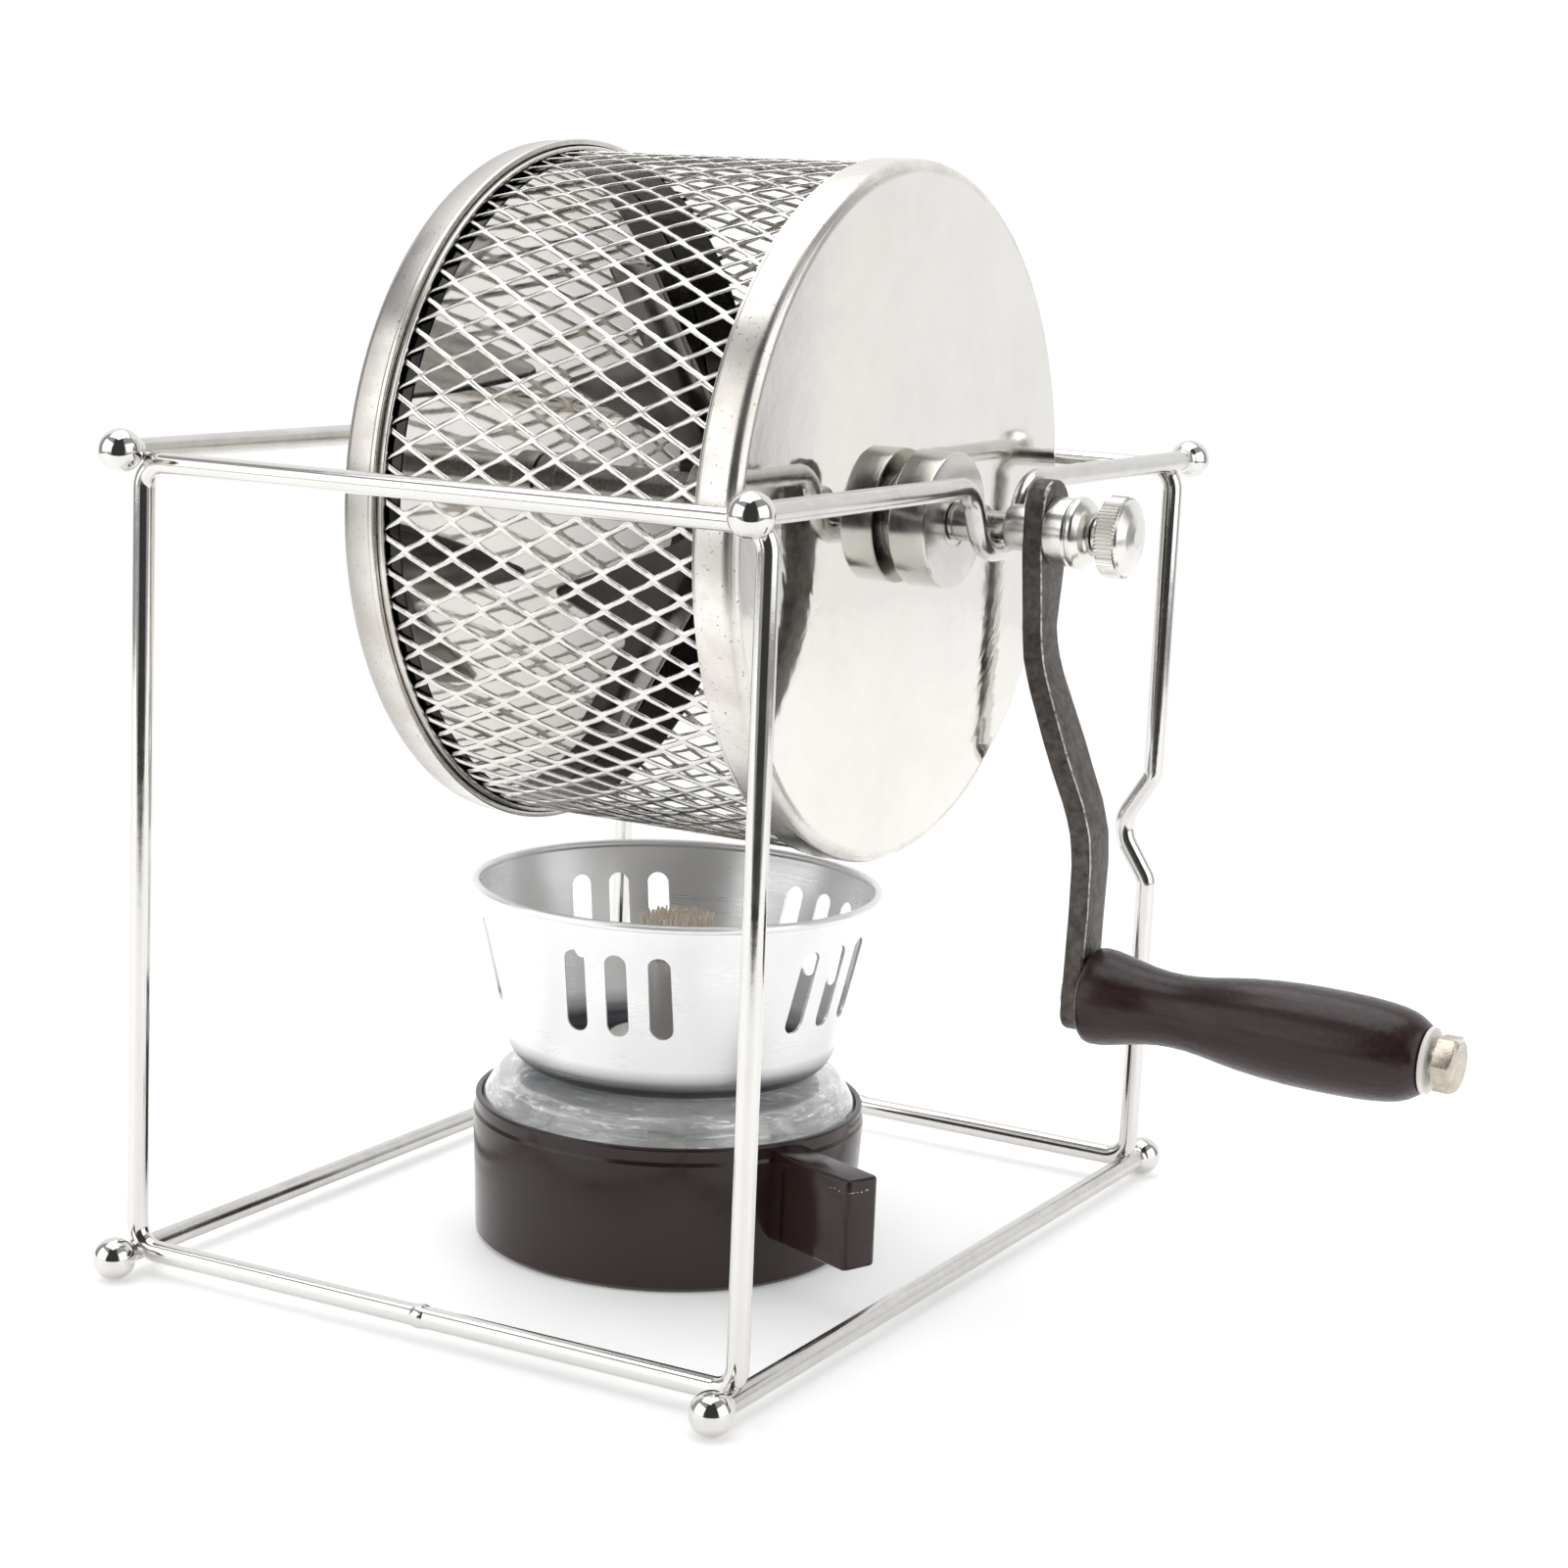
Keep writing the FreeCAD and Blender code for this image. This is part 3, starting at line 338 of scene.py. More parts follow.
def soften(obj, width, segments, angle):
    """Rounds the edges sharper than angle, in degrees."""
    modify(obj, "BEVEL", width=width, segments=segments, limit_method="ANGLE",
           angle_limit=math.radians(angle))


def carve(obj, cutter, operation="DIFFERENCE"):
    """Cuts obj with another piece and uses that piece up."""
    modify(obj, "BOOLEAN", operation=operation, object=cutter, solver="EXACT")
    bpy.data.objects.remove(cutter)


def cut_sheet(points, thickness):
    """Solid cut along a closed outline; thickness is a vector."""
    obj = draw(points, closed=True)
    bpy.ops.mesh.edge_face_add()
    bpy.ops.mesh.extrude_region_move(TRANSFORM_OT_translate={"value": thickness})
    clean(1e-7)
    object_mode()
    return obj


def select_where(obj, faces=None, verts=None, edges=None):
    """In edit mode, selects the faces, vertices or edges that a test picks."""
    bpy.ops.mesh.select_all(action="DESELECT")
    mode = (verts is not None, edges is not None, faces is not None)
    bpy.context.tool_settings.mesh_select_mode = mode
    bpy.ops.object.mode_set(mode="OBJECT")
    mesh = obj.data
    if faces:
        for face in mesh.polygons:
            face.select = bool(faces(face))
    if verts:
        for vert in mesh.vertices:
            vert.select = bool(verts(vert.co))
    if edges:
        for edge in mesh.edges:
            a, b = (mesh.vertices[i].co for i in edge.vertices)
            edge.select = bool(edges(a, b))
    bpy.ops.object.mode_set(mode="EDIT")


def place_piece(obj, name, body, material, nodes=(), smooth=35):
    """Names a finished piece, shades it, gives it its finish and seats it on its body."""
    if not obj.data.polygons:
        raise RuntimeError(name + " has no faces")
    object_mode()
    obj.select_set(True)
    bpy.context.view_layer.objects.active = obj
    bpy.ops.object.shade_smooth_by_angle(angle=math.radians(smooth))
    obj.name = name
    obj.data.name = name
    obj.data.materials.clear()
    obj.data.materials.append(material)
    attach(obj, body)
    if nodes:
        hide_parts(*nodes)


# ---------------------------------------------------------------- finishes

def node_group(name, outputs, amount, default, build):
    """Shader group of plain numbers, built once: one input, amount, and the named outputs."""
    if name in bpy.data.node_groups:
        return bpy.data.node_groups[name]
    group = bpy.data.node_groups.new(name, "ShaderNodeTree")
    socket = group.interface.new_socket(name=amount, in_out="INPUT", socket_type="NodeSocketFloat")
    socket.default_value = default
    for output in outputs:
        group.interface.new_socket(name=output, in_out="OUTPUT", socket_type="NodeSocketFloat")
    tree = Tree(group)
    source = tree.add("NodeGroupInput").outputs[amount]
    build(tree, source, tree.add("NodeGroupOutput"))
    return group


class Tree:
    """Short way to add and link shader nodes."""

    def __init__(self, tree):
        self.tree = tree

    def add(self, kind, values=None, **properties):
        node = self.tree.nodes.new(kind)
        for key, value in properties.items():
            setattr(node, key, value)
        for key, value in (values or {}).items():
            if isinstance(value, bpy.types.NodeSocket):
                self.tree.links.new(value, node.inputs[key])
            else:
                node.inputs[key].default_value = value
        return node

    def link(self, output, socket):
        self.tree.links.new(output, socket)

    def math(self, operation, first, second=0.0, clamp=False):
        node = self.add("ShaderNodeMath", {0: first, 1: second}, operation=operation, use_clamp=clamp)
        return node.outputs[0]

    def ramp(self, value, low, high, out_low=0.0, out_high=1.0):
        node = self.add("ShaderNodeMapRange", {"Value": value, "From Min": low, "From Max": high,
                                               "To Min": out_low, "To Max": out_high}, clamp=True)
        return node.outputs["Result"]

    def noise(self, vector, scale, detail=3.0, roughness=0.5, distortion=0.0):
        node = self.add("ShaderNodeTexNoise", {"Vector": vector, "Scale": scale, "Detail": detail,
                                               "Roughness": roughness, "Distortion": distortion})
        return node.outputs["Fac"]

    def stretched(self, vector, scale, turn=(0, 0, 0), shift=(0, 0, 0)):
        node = self.add("ShaderNodeMapping", {"Vector": vector, "Scale": scale, "Rotation": turn,
                                              "Location": shift})
        return node.outputs["Vector"]

    def mix(self, factor, first, second):
        node = self.add("ShaderNodeMix", data_type="RGBA")
        for key, value in ((0, factor), (6, first), (7, second)):
            if isinstance(value, bpy.types.NodeSocket):
                self.tree.links.new(value, node.inputs[key])
            else:
                node.inputs[key].default_value = value if key == 0 else (*value, 1.0)
        return node.outputs[2]

    def group(self, group, **values):
        node = self.add("ShaderNodeGroup", node_tree=group)
        for key, value in values.items():
            socket = node.inputs[key.replace("_", " ")]
            if isinstance(value, bpy.types.NodeSocket):
                self.tree.links.new(value, socket)
            else:
                socket.default_value = value
        return node


def smudges():
    """Cloudy handling marks, 0 to 1, with a slow tone beside them."""
    def build(tree, scale, drain):
        place = tree.add("ShaderNodeTexCoord").outputs["Object"]
        wide = tree.noise(place, scale, 4.0, 0.6, 0.6)
        fine = tree.noise(place, tree.math("MULTIPLY", scale, 7.3), 5.0, 0.7)
        both = tree.math("ADD", tree.math("MULTIPLY", wide, 0.7), tree.math("MULTIPLY", fine, 0.3))
        tree.link(tree.ramp(both, 0.38, 0.66), drain.inputs["Marks"])
        tree.link(wide, drain.inputs["Tone"])
    return node_group("Smudges", ("Marks", "Tone"), "Scale", 30.0, build)


def lathe_marks():
    """Fine rings left by turning about the shaft: their height, and the distance from the shaft."""
    def build(tree, scale, drain):
        place = tree.add("ShaderNodeTexCoord").outputs["Object"]
        moved = tree.stretched(place, (1, 1, 1), shift=(0, -SHAFT.y, -SHAFT.z))
        parts = tree.add("ShaderNodeSeparateXYZ", {"Vector": moved})
        radius = tree.math("SQRT", tree.math("ADD", tree.math("POWER", parts.outputs["Y"], 2.0),
                                             tree.math("POWER", parts.outputs["Z"], 2.0)))
        along = tree.math("ADD", radius, parts.outputs["X"])
        across = tree.add("ShaderNodeCombineXYZ", {"X": along})
        tree.link(tree.noise(across.outputs[0], scale, 2.0, 0.8), drain.inputs["Height"])
        tree.link(radius, drain.inputs["Radius"])
    return node_group("Lathe marks", ("Height", "Radius"), "Scale", 4000.0, build)


def worn_edges():
    """Mask of convex edges, broken up by noise."""
    def build(tree, amount, drain):
        place = tree.add("ShaderNodeTexCoord").outputs["Object"]
        point = tree.add("ShaderNodeNewGeometry").outputs["Pointiness"]
        broken = tree.noise(place, 900.0, 4.0)
        lifted = tree.math("ADD", point, tree.math("MULTIPLY", tree.math("SUBTRACT", broken, 0.5), 0.12))
        width = tree.math("SUBTRACT", 0.62, tree.math("MULTIPLY", amount, 0.1))
        edge = tree.math("MULTIPLY", tree.math("SUBTRACT", lifted, width, clamp=True), 14.0, clamp=True)
        tree.link(edge, drain.inputs["Edge"])
    return node_group("Worn edges", ("Edge",), "Amount", 0.5, build)


def grain():
    """Two scales of fine noise for cast and moulded skins: height, fine and coarse."""
    def build(tree, scale, drain):
        place = tree.add("ShaderNodeTexCoord").outputs["Object"]
        coarse = tree.noise(place, scale, 3.0, 0.55)
        fine = tree.noise(place, tree.math("MULTIPLY", scale, 4.6), 4.0, 0.7)
        height = tree.math("ADD", tree.math("MULTIPLY", coarse, 0.65), tree.math("MULTIPLY", fine, 0.35))
        tree.link(height, drain.inputs["Height"])
        tree.link(coarse, drain.inputs["Coarse"])
        tree.link(fine, drain.inputs["Fine"])
    return node_group("Grain", ("Height", "Coarse", "Fine"), "Scale", 600.0, build)


def new_finish(name, **plain):
    """Material with one Principled shader; plain sets the shader's own sockets."""
    material = bpy.data.materials.new(name)
    material.use_nodes = True
    tree = Tree(material.node_tree)
    shader = material.node_tree.nodes["Principled BSDF"]
    for key, value in plain.items():
        socket = shader.inputs[key.replace("_", " ")]
        socket.default_value = (*value, 1.0) if hasattr(value, "__len__") and len(value) == 3 else value
    return material, tree, shader


def bump(tree, shader, height, distance):
    node = tree.add("ShaderNodeBump", {"Height": height, "Distance": distance})
    tree.link(node.outputs["Normal"], shader.inputs["Normal"])


def paint(tree, shader, tone, rough):
    """Feeds the two values that change over every finish."""
    tree.link(tone, shader.inputs["Base Color"])
    tree.link(rough, shader.inputs["Roughness"])


def times(tint, share):
    return tuple(part * share for part in tint)


def finish_chrome():
    """Bright plating with faint handling marks."""
    tint = tuple(bpy.context.scene.roaster_stand.chrome)
    material, tree, shader = new_finish("Plated wire", Metallic=1.0)
    marks = tree.group(smudges(), Scale=55.0)
    skin = tree.group(grain(), Scale=420.0)
    paint(tree, shader, tree.mix(marks.outputs["Tone"], tint, times(tint, 0.94)),
          tree.ramp(marks.outputs["Marks"], 0, 1, 0.05, 0.16))
    bump(tree, shader, skin.outputs["Height"], mm(0.012))
    return material


def finish_rod_chrome():
    """Plating over drawn wire, duller and mottled along its length."""
    tint = tuple(bpy.context.scene.roaster_stand.chrome)
    material, tree, shader = new_finish("Plated rod", Metallic=1.0)
    place = tree.add("ShaderNodeTexCoord").outputs["Object"]
    streaks = tree.noise(tree.stretched(place, (900, 60, 900)), 1.0, 3.0)
    blots = tree.noise(place, 160.0, 4.0, 0.65)
    mottle = tree.math("ADD", tree.math("MULTIPLY", streaks, 0.5), tree.math("MULTIPLY", blots, 0.5))
    paint(tree, shader, tree.mix(tree.ramp(mottle, 0.35, 0.65), times(tint, 0.74), times(tint, 0.92)),
          tree.ramp(mottle, 0.3, 0.7, 0.12, 0.3))
    bump(tree, shader, mottle, mm(0.03))
    return material


def finish_cap():
    """Mirror face inside a satin, grained rim with brown pits, and painted shade on the rims of the far lid
    and the mesh band.
    """
    steel = tuple(bpy.context.scene.roaster_drum.steel)
    material, tree, shader = new_finish("Cap steel", Metallic=1.0)
    rings = tree.group(lathe_marks(), Scale=2600.0)
    marks = tree.group(smudges(), Scale=26.0)
    place = tree.add("ShaderNodeTexCoord").outputs["Object"]
    rim = tree.ramp(rings.outputs["Radius"], mm(66.6), mm(67.4))
    pits = tree.ramp(tree.noise(place, 1500.0, 2.0, 0.4), 0.66, 0.72)
    blotch = tree.ramp(tree.noise(place, 90.0, 4.0, 0.6), 0.4, 0.7)
    stain = tree.math("MULTIPLY", tree.math("MAXIMUM", pits, tree.math("MULTIPLY", blotch, 0.35)), rim)
    along = tree.add("ShaderNodeSeparateXYZ", {"Vector": place}).outputs["X"]
    middle = tree.math("ABSOLUTE", tree.math("SUBTRACT", along, SHAFT.x + mm(6.4)))
    inner = tree.ramp(middle, mm(43.1), mm(43.3), 1, 0)
    # Painted shade: the rims of the far lid and the mesh band darken towards the lid's face, where they
    # meet.
    corner = tree.ramp(along, SHAFT.x + mm(-37.2), SHAFT.x + mm(-28.5), 1, 0)
    face = tree.mix(marks.outputs["Marks"], steel, times(steel, 0.93))
    shaded = tree.mix(tree.math("MULTIPLY", corner, rim), face, times(steel, 0.45))
    polished = tree.ramp(tree.math("SUBTRACT", marks.outputs["Marks"], inner), 0, 1, 0.03, 0.11)
    satin = tree.ramp(blotch, 0, 1, 0.24, 0.36)
    rough = tree.math("ADD", tree.math("MULTIPLY", polished, tree.math("SUBTRACT", 1.0, rim)),
                      tree.math("MULTIPLY", satin, rim))
    paint(tree, shader, tree.mix(stain, shaded, (0.42, 0.36, 0.30)), rough)
    grained = tree.noise(tree.stretched(place, (2600, 130, 130)), 1.0, 3.0)
    depth = tree.math("SUBTRACT", 0.4, tree.math("MULTIPLY", inner, 0.36))
    dents = tree.math("MULTIPLY", marks.outputs["Tone"], depth)
    height = tree.math("ADD", tree.math("MULTIPLY", grained, tree.math("MULTIPLY", rim, 0.03)), dents)
    bump(tree, shader, height, mm(0.25))
    return material


def finish_mesh():
    """Bright slit steel, slightly grained."""
    steel = tuple(bpy.context.scene.roaster_drum.steel)
    material, tree, shader = new_finish("Mesh steel", Metallic=1.0)
    marks = tree.group(smudges(), Scale=60.0)
    skin = tree.group(grain(), Scale=700.0)
    paint(tree, shader, tree.mix(marks.outputs["Tone"], steel, times(steel, 0.82)),
          tree.ramp(skin.outputs["Coarse"], 0.3, 0.7, 0.16, 0.32))
    bump(tree, shader, skin.outputs["Height"], mm(0.06))
    return material


def finish_turned(name, tint, low, high, scale=5200.0, depth=0.02):
    """Metal off the lathe, with roughness from low to high and rings depth millimetres deep."""
    material, tree, shader = new_finish(name, Metallic=1.0)
    rings = tree.group(lathe_marks(), Scale=scale)
    marks = tree.group(smudges(), Scale=120.0)
    worn = tree.math("ADD", rings.outputs["Height"], marks.outputs["Marks"])
    paint(tree, shader, tree.mix(marks.outputs["Tone"], tint, times(tint, 0.85)),
          tree.ramp(worn, 0.4, 1.5, low, high))
    bump(tree, shader, rings.outputs["Height"], mm(depth))
    return material


def finish_sheet(name, tint):
    """Dark satin of rolled sheet, smooth but for faint waves."""
    material, tree, shader = new_finish(name, Metallic=1.0)
    marks = tree.group(smudges(), Scale=38.0)
    skin = tree.group(grain(), Scale=240.0)
    paint(tree, shader, tree.mix(marks.outputs["Tone"], tint, times(tint, 0.68)),
          tree.ramp(marks.outputs["Marks"], 0, 1, 0.10, 0.22))
    bump(tree, shader, skin.outputs["Height"], mm(0.02))
    return material


def finish_iron():
    """Cast skin: dark, slightly metallic, rough, with a worn parting edge."""
    iron = tuple(bpy.context.scene.roaster_crank.iron)
    material, tree, shader = new_finish("Cast arm", Metallic=0.85)
    skin = tree.group(grain(), Scale=520.0)
    edges = tree.group(worn_edges(), Amount=0.6)
    tone = tree.mix(tree.ramp(skin.outputs["Coarse"], 0.3, 0.7), iron, times(iron, 2.4))
    paint(tree, shader, tree.mix(edges.outputs["Edge"], tone, (0.46, 0.44, 0.42)),
          tree.ramp(skin.outputs["Fine"], 0.25, 0.75, 0.30, 0.52))
    bump(tree, shader, skin.outputs["Height"], mm(0.45))
    return material


def finish_parting_edge_highlight():
    """Cast skin rubbed bright along the mould's parting line, and lighter as a painted highlight on that
    edge.
    """
    material, tree, shader = new_finish("Rubbed edge highlight", Metallic=0.9)
    skin = tree.group(grain(), Scale=900.0)
    rubbed = tree.ramp(skin.outputs["Coarse"], 0.35, 0.6)
    # Partly painted highlight: the pale colour is both rubbed metal and light caught along the edge.
    paint(tree, shader, tree.mix(rubbed, (0.16, 0.15, 0.145), (0.62, 0.60, 0.57)),
          tree.ramp(skin.outputs["Fine"], 0.3, 0.7, 0.25, 0.45))
    bump(tree, shader, skin.outputs["Height"], mm(0.3))
    return material


def finish_lacquer():
    """Dark lacquer over turned wood: grain below, orange peel above."""
    lacquer = tuple(bpy.context.scene.roaster_crank.lacquer)
    material, tree, shader = new_finish("Lacquered wood", Coat_Weight=0.3, Coat_Roughness=0.2, IOR=1.5,
                                       Specular_IOR_Level=0.25)
    place = tree.add("ShaderNodeTexCoord").outputs["Object"]
    aligned = tree.stretched(place, (60, 900, 900), turn=(0, -GRIP_LEAN, 0))
    fibres = tree.noise(aligned, 1.0, 5.0, 0.6)
    peel = tree.noise(place, 850.0, 2.0, 0.5)
    paint(tree, shader, tree.mix(tree.ramp(fibres, 0.35, 0.7), lacquer, times(lacquer, 1.9)),
          tree.ramp(peel, 0.3, 0.7, 0.28, 0.44))
    height = tree.math("ADD", tree.math("MULTIPLY", peel, 0.7), tree.math("MULTIPLY", fibres, 0.3))
    bump(tree, shader, height, mm(0.14))
    return material


def finish_zinc():
    """Yellowed zinc plate, bright where the edges are rubbed."""
    material, tree, shader = new_finish("Zinc bolt", Metallic=1.0)
    skin = tree.group(grain(), Scale=500.0)
    edges = tree.group(worn_edges(), Amount=0.5)
    tone = tree.mix(tree.ramp(skin.outputs["Coarse"], 0.3, 0.7), (0.58, 0.53, 0.45), (0.42, 0.37, 0.30))
    paint(tree, shader, tree.mix(edges.outputs["Edge"], tone, (0.85, 0.82, 0.76)),
          tree.ramp(skin.outputs["Fine"], 0.3, 0.7, 0.2, 0.38))
    bump(tree, shader, skin.outputs["Height"], mm(0.1))
    return material


def finish_washer():
    """White nylon, faintly milky."""
    material, tree, shader = new_finish("White washer", IOR=1.5, Subsurface_Weight=0.25,
                                       Subsurface_Scale=0.001)
    skin = tree.group(grain(), Scale=500.0)
    paint(tree, shader, tree.mix(skin.outputs["Coarse"], (0.84, 0.83, 0.80), (0.76, 0.75, 0.71)),
          tree.ramp(skin.outputs["Fine"], 0.3, 0.7, 0.35, 0.5))
    bump(tree, shader, skin.outputs["Height"], mm(0.05))
    return material


def finish_resin():
    """Glossy moulded resin with faint flow marks, rubbed edges and pale flash along the mould line."""
    resin = tuple(bpy.context.scene.roaster_burner.resin)
    material, tree, shader = new_finish("Moulded base", IOR=1.54, Specular_IOR_Level=0.36)
    place = tree.add("ShaderNodeTexCoord").outputs["Object"]
    skin = tree.group(grain(), Scale=180.0)
    edges = tree.group(worn_edges(), Amount=0.35)
    flow = tree.noise(tree.stretched(place, (14, 14, 46)), 1.0, 3.0)
    tone = tree.mix(tree.ramp(flow, 0.35, 0.65), resin, times(resin, 1.25))
    parts = tree.add("ShaderNodeSeparateXYZ", {"Vector": place})
    ragged = tree.math("MULTIPLY", tree.noise(place, 420.0, 3.0), mm(1.6))
    drop = tree.math("SUBTRACT", tree.math("ADD", parts.outputs["Z"], ragged), mm(27.5))
    line = tree.ramp(tree.math("ABSOLUTE", drop), mm(0.05), mm(0.2), 1, 0)
    reach = tree.add("ShaderNodeVectorMath", {0: place}, operation="LENGTH").outputs["Value"]
    at_end = tree.math("MULTIPLY", line, tree.ramp(reach, mm(63), mm(66)))
    flash = tree.math("MULTIPLY", at_end, tree.ramp(tree.noise(place, 1500.0, 3.0, 0.6), 0.5, 0.6))
    rubbed = tree.mix(tree.math("MULTIPLY", edges.outputs["Edge"], 0.5), tone, (0.25, 0.21, 0.19))
    paint(tree, shader, tree.mix(flash, rubbed, (0.72, 0.70, 0.68)),
          tree.ramp(skin.outputs["Fine"], 0.3, 0.75, 0.10, 0.24))
    height = tree.math("ADD", flow, tree.math("MULTIPLY", skin.outputs["Height"], 0.25))
    bump(tree, shader, height, mm(0.12))
    return material


def finish_glass():
    """Clear pressed glass whose skin rolls gently, with painted grey streaks for dark reflections and a
    faint painted glow.
    """
    # The faint white emission is a painted glow.
    material, tree, shader = new_finish("Pressed glass", Metallic=0.0, Transmission_Weight=0.84, IOR=1.5,
                                        Coat_Weight=1.0, Coat_Roughness=0.01,
                                        Emission_Color=(1, 1, 1), Emission_Strength=0.05)
    place = tree.add("ShaderNodeTexCoord").outputs["Object"]
    roll = tree.noise(tree.stretched(place, (55, 55, 330)), 1.0, 2.0)
    seeds = tree.noise(place, 420.0, 2.0)
    # Painted reflections: grey streaks in the colour follow the rolling skin.
    paint(tree, shader, tree.mix(tree.ramp(roll, 0.36, 0.56), (0.42, 0.45, 0.46), (1.0, 1.0, 1.0)),
          tree.ramp(seeds, 0.4, 0.8, 0.0, 0.03))
    bump(tree, shader, tree.math("ADD", roll, tree.math("MULTIPLY", seeds, 0.06)), mm(1.8))
    return material


def finish_shield():
    """Spun aluminium: satin, with soft rings round it, and a painted dark reflection where it turns in to
    its seat.
    """
    material, tree, shader = new_finish("Spun shield", Metallic=0.6)
    place = tree.add("ShaderNodeTexCoord").outputs["Object"]
    rings = tree.noise(tree.stretched(place, (9, 9, 3200)), 1.0, 3.0)
    bloom = tree.noise(place, 60.0, 3.0)
    height = tree.add("ShaderNodeSeparateXYZ", {"Vector": place}).outputs["Z"]
    wall = tree.mix(tree.ramp(bloom, 0.3, 0.7), (0.97, 0.97, 0.97), (0.92, 0.92, 0.925))
    # Painted reflection: the rounded bottom goes blue-black, standing in for the dark base mirrored there.
    paint(tree, shader, tree.mix(tree.ramp(height, mm(39.8), mm(44.6)), (0.055, 0.06, 0.07), wall),
          tree.ramp(tree.math("ADD", rings, bloom), 0.7, 1.3, 0.26, 0.38))
    bump(tree, shader, rings, mm(0.004))
    return material


def finish_cotton():
    """Raw cotton, streaked along its fibres."""
    material, tree, shader = new_finish("Cotton wick", Sheen_Weight=0.5, Sheen_Roughness=0.5, IOR=1.45)
    place = tree.add("ShaderNodeTexCoord").outputs["Object"]
    strands = tree.noise(tree.stretched(place, (1600, 1600, 120)), 1.0, 4.0)
    paint(tree, shader, tree.mix(tree.ramp(strands, 0.3, 0.7), (0.90, 0.79, 0.66), (1.0, 0.94, 0.84)),
          tree.ramp(strands, 0.3, 0.7, 0.75, 0.95))
    bump(tree, shader, strands, mm(0.3))
    return material


# ---------------------------------------------------------------- operators: stand

def stand_point(x, y, z):
    return Vector((STAND.x + x, STAND.y + y, z))


class ROASTER_OT_loops(bpy.types.Operator):
    """Bend the stand's two closed wire loops, one with a kinked post"""

    bl_idname = "roaster.loops"
    bl_label = "Wire Loops"

    def execute(self, context):
        size = context.scene.roaster_stand
        chrome = finish_chrome()
        rear_inset = 8.8
        # Each corner of a loop: how far it stands in from the rod's end, and off the rod's height
        front_corners = ((6.9, 0.5), (8.8, 1.0), (6.5, 1.9), (6.9, 2.4))
        rear_corners = ((rear_inset, 1.5),) * 4
        rod_ends = ((-1, LOW_ROD_Z, 1), (1, LOW_ROD_Z, 1), (1, HIGH_ROD_Z, -1), (-1, HIGH_ROD_Z, -1))
        for name, side, corners in (("front_loop", -1, front_corners), ("rear_loop", 1, rear_corners)):
            points = [stand_point(end * ROD_X, side * (ROD_Y - mm(inset)), z + inward * mm(setdown))
                      for (end, z, inward), (inset, setdown) in zip(rod_ends, corners)]
            middle = (points[0] + points[1]) / 2
            radii = [size.bend] * 4
            if side > 0:
                kink = zip((0, size.kink, 0), mm((70.7, 82, 94.2)))
                points[2:2] = [stand_point(ROD_X - inwards, ROD_Y - mm(rear_inset), level)
                               for inwards, level in kink]
                radii[2:2] = mm((4, 8, 4))
            loop = bent_wire(points, radii, size.wire / 2, closed=True)
            weld = rounded([(-1.7, 2.05, 0), (-1.2, 2.25, 0.5), (-0.4, 2.47, 0.5), (0.5, 2.43, 0.5),
                            (1.2, 2.25, 0.5), (1.7, 2.05, 0)], 2)
            joined(loop, turned(weld, middle, X, 20))
            place_piece(loop, name + "_wire", "stand", chrome, [name], 50)
        return {"FINISHED"}


class ROASTER_OT_rods(bpy.types.Operator):
    """Bend the two upper rods with their saddles and draw the two straight lower rods"""

    bl_idname = "roaster.rods"
    bl_label = "Cross Rods"

    def execute(self, context):
        size = context.scene.roaster_stand
        chrome = finish_rod_chrome()
        seat = HIGH_ROD_Z - mm(13.05)
        brink, bottom = mm(13), mm(6.4)
        upper = [(-ROD_Y, HIGH_ROD_Z), (-brink, HIGH_ROD_Z), (-bottom, seat), (bottom, seat),
                 (brink, HIGH_ROD_Z), (ROD_Y, HIGH_ROD_Z)]
        upper_radii = mm([0, 8, 8.5, 8.5, 8, 0])
        lower = [(-ROD_Y, LOW_ROD_Z), (ROD_Y, LOW_ROD_Z)]
        for side, word in ((-1, "left"), (1, "right")):
            for route, radii, node in ((upper, upper_radii, "_saddle_rod"), (lower, [0, 0], "_foot_rod")):
                points = [stand_point(side * ROD_X, y, z) for y, z in route]
                rod = bent_wire(points, radii, size.wire / 2)
                place_piece(rod, word + node + "_wire", "stand", chrome, [word + node], 50)
        return {"FINISHED"}


class ROASTER_OT_balls(bpy.types.Operator):
    """Turn one ball with its weld and set a copy on each rod end"""

    bl_idname = "roaster.balls"
    bl_label = "Balls"

    def execute(self, context):
        size = context.scene.roaster_stand
        chrome = finish_chrome()
        radius = size.ball / 2 * 1000
        wire = size.wire / 2 * 1000
        steps = 26
        first = math.asin(wire * 1.16 / radius)
        weld_start, weld_middle = -radius - 0.9, -radius * math.cos(first) - 0.35
        profile = [(weld_start, wire * 0.98), (weld_middle, wire * 1.06)]
        for step in range(steps + 1):
            angle = first + (math.pi - first) * step / steps
            profile.append((-radius * math.cos(angle), max(radius * math.sin(angle), 0)))
        for name, height in (("upper_balls", HIGH_ROD_Z), ("foot_balls", LOW_ROD_Z)):
            rear = turned(profile, stand_point(ROD_X, ROD_Y, height), Y, 40)
            front = copied(rear, about(stand_point(0, 0, 0), 180, "Z"))
            across = Matrix.Translation((-2 * ROD_X, 0, 0))
            balls = joined(rear, front, copied(rear, across), copied(front, across.inverted()))
            place_piece(balls, name + "_shine", "stand", chrome, [name], 60)
        return {"FINISHED"}


# ---------------------------------------------------------------- operators: drum

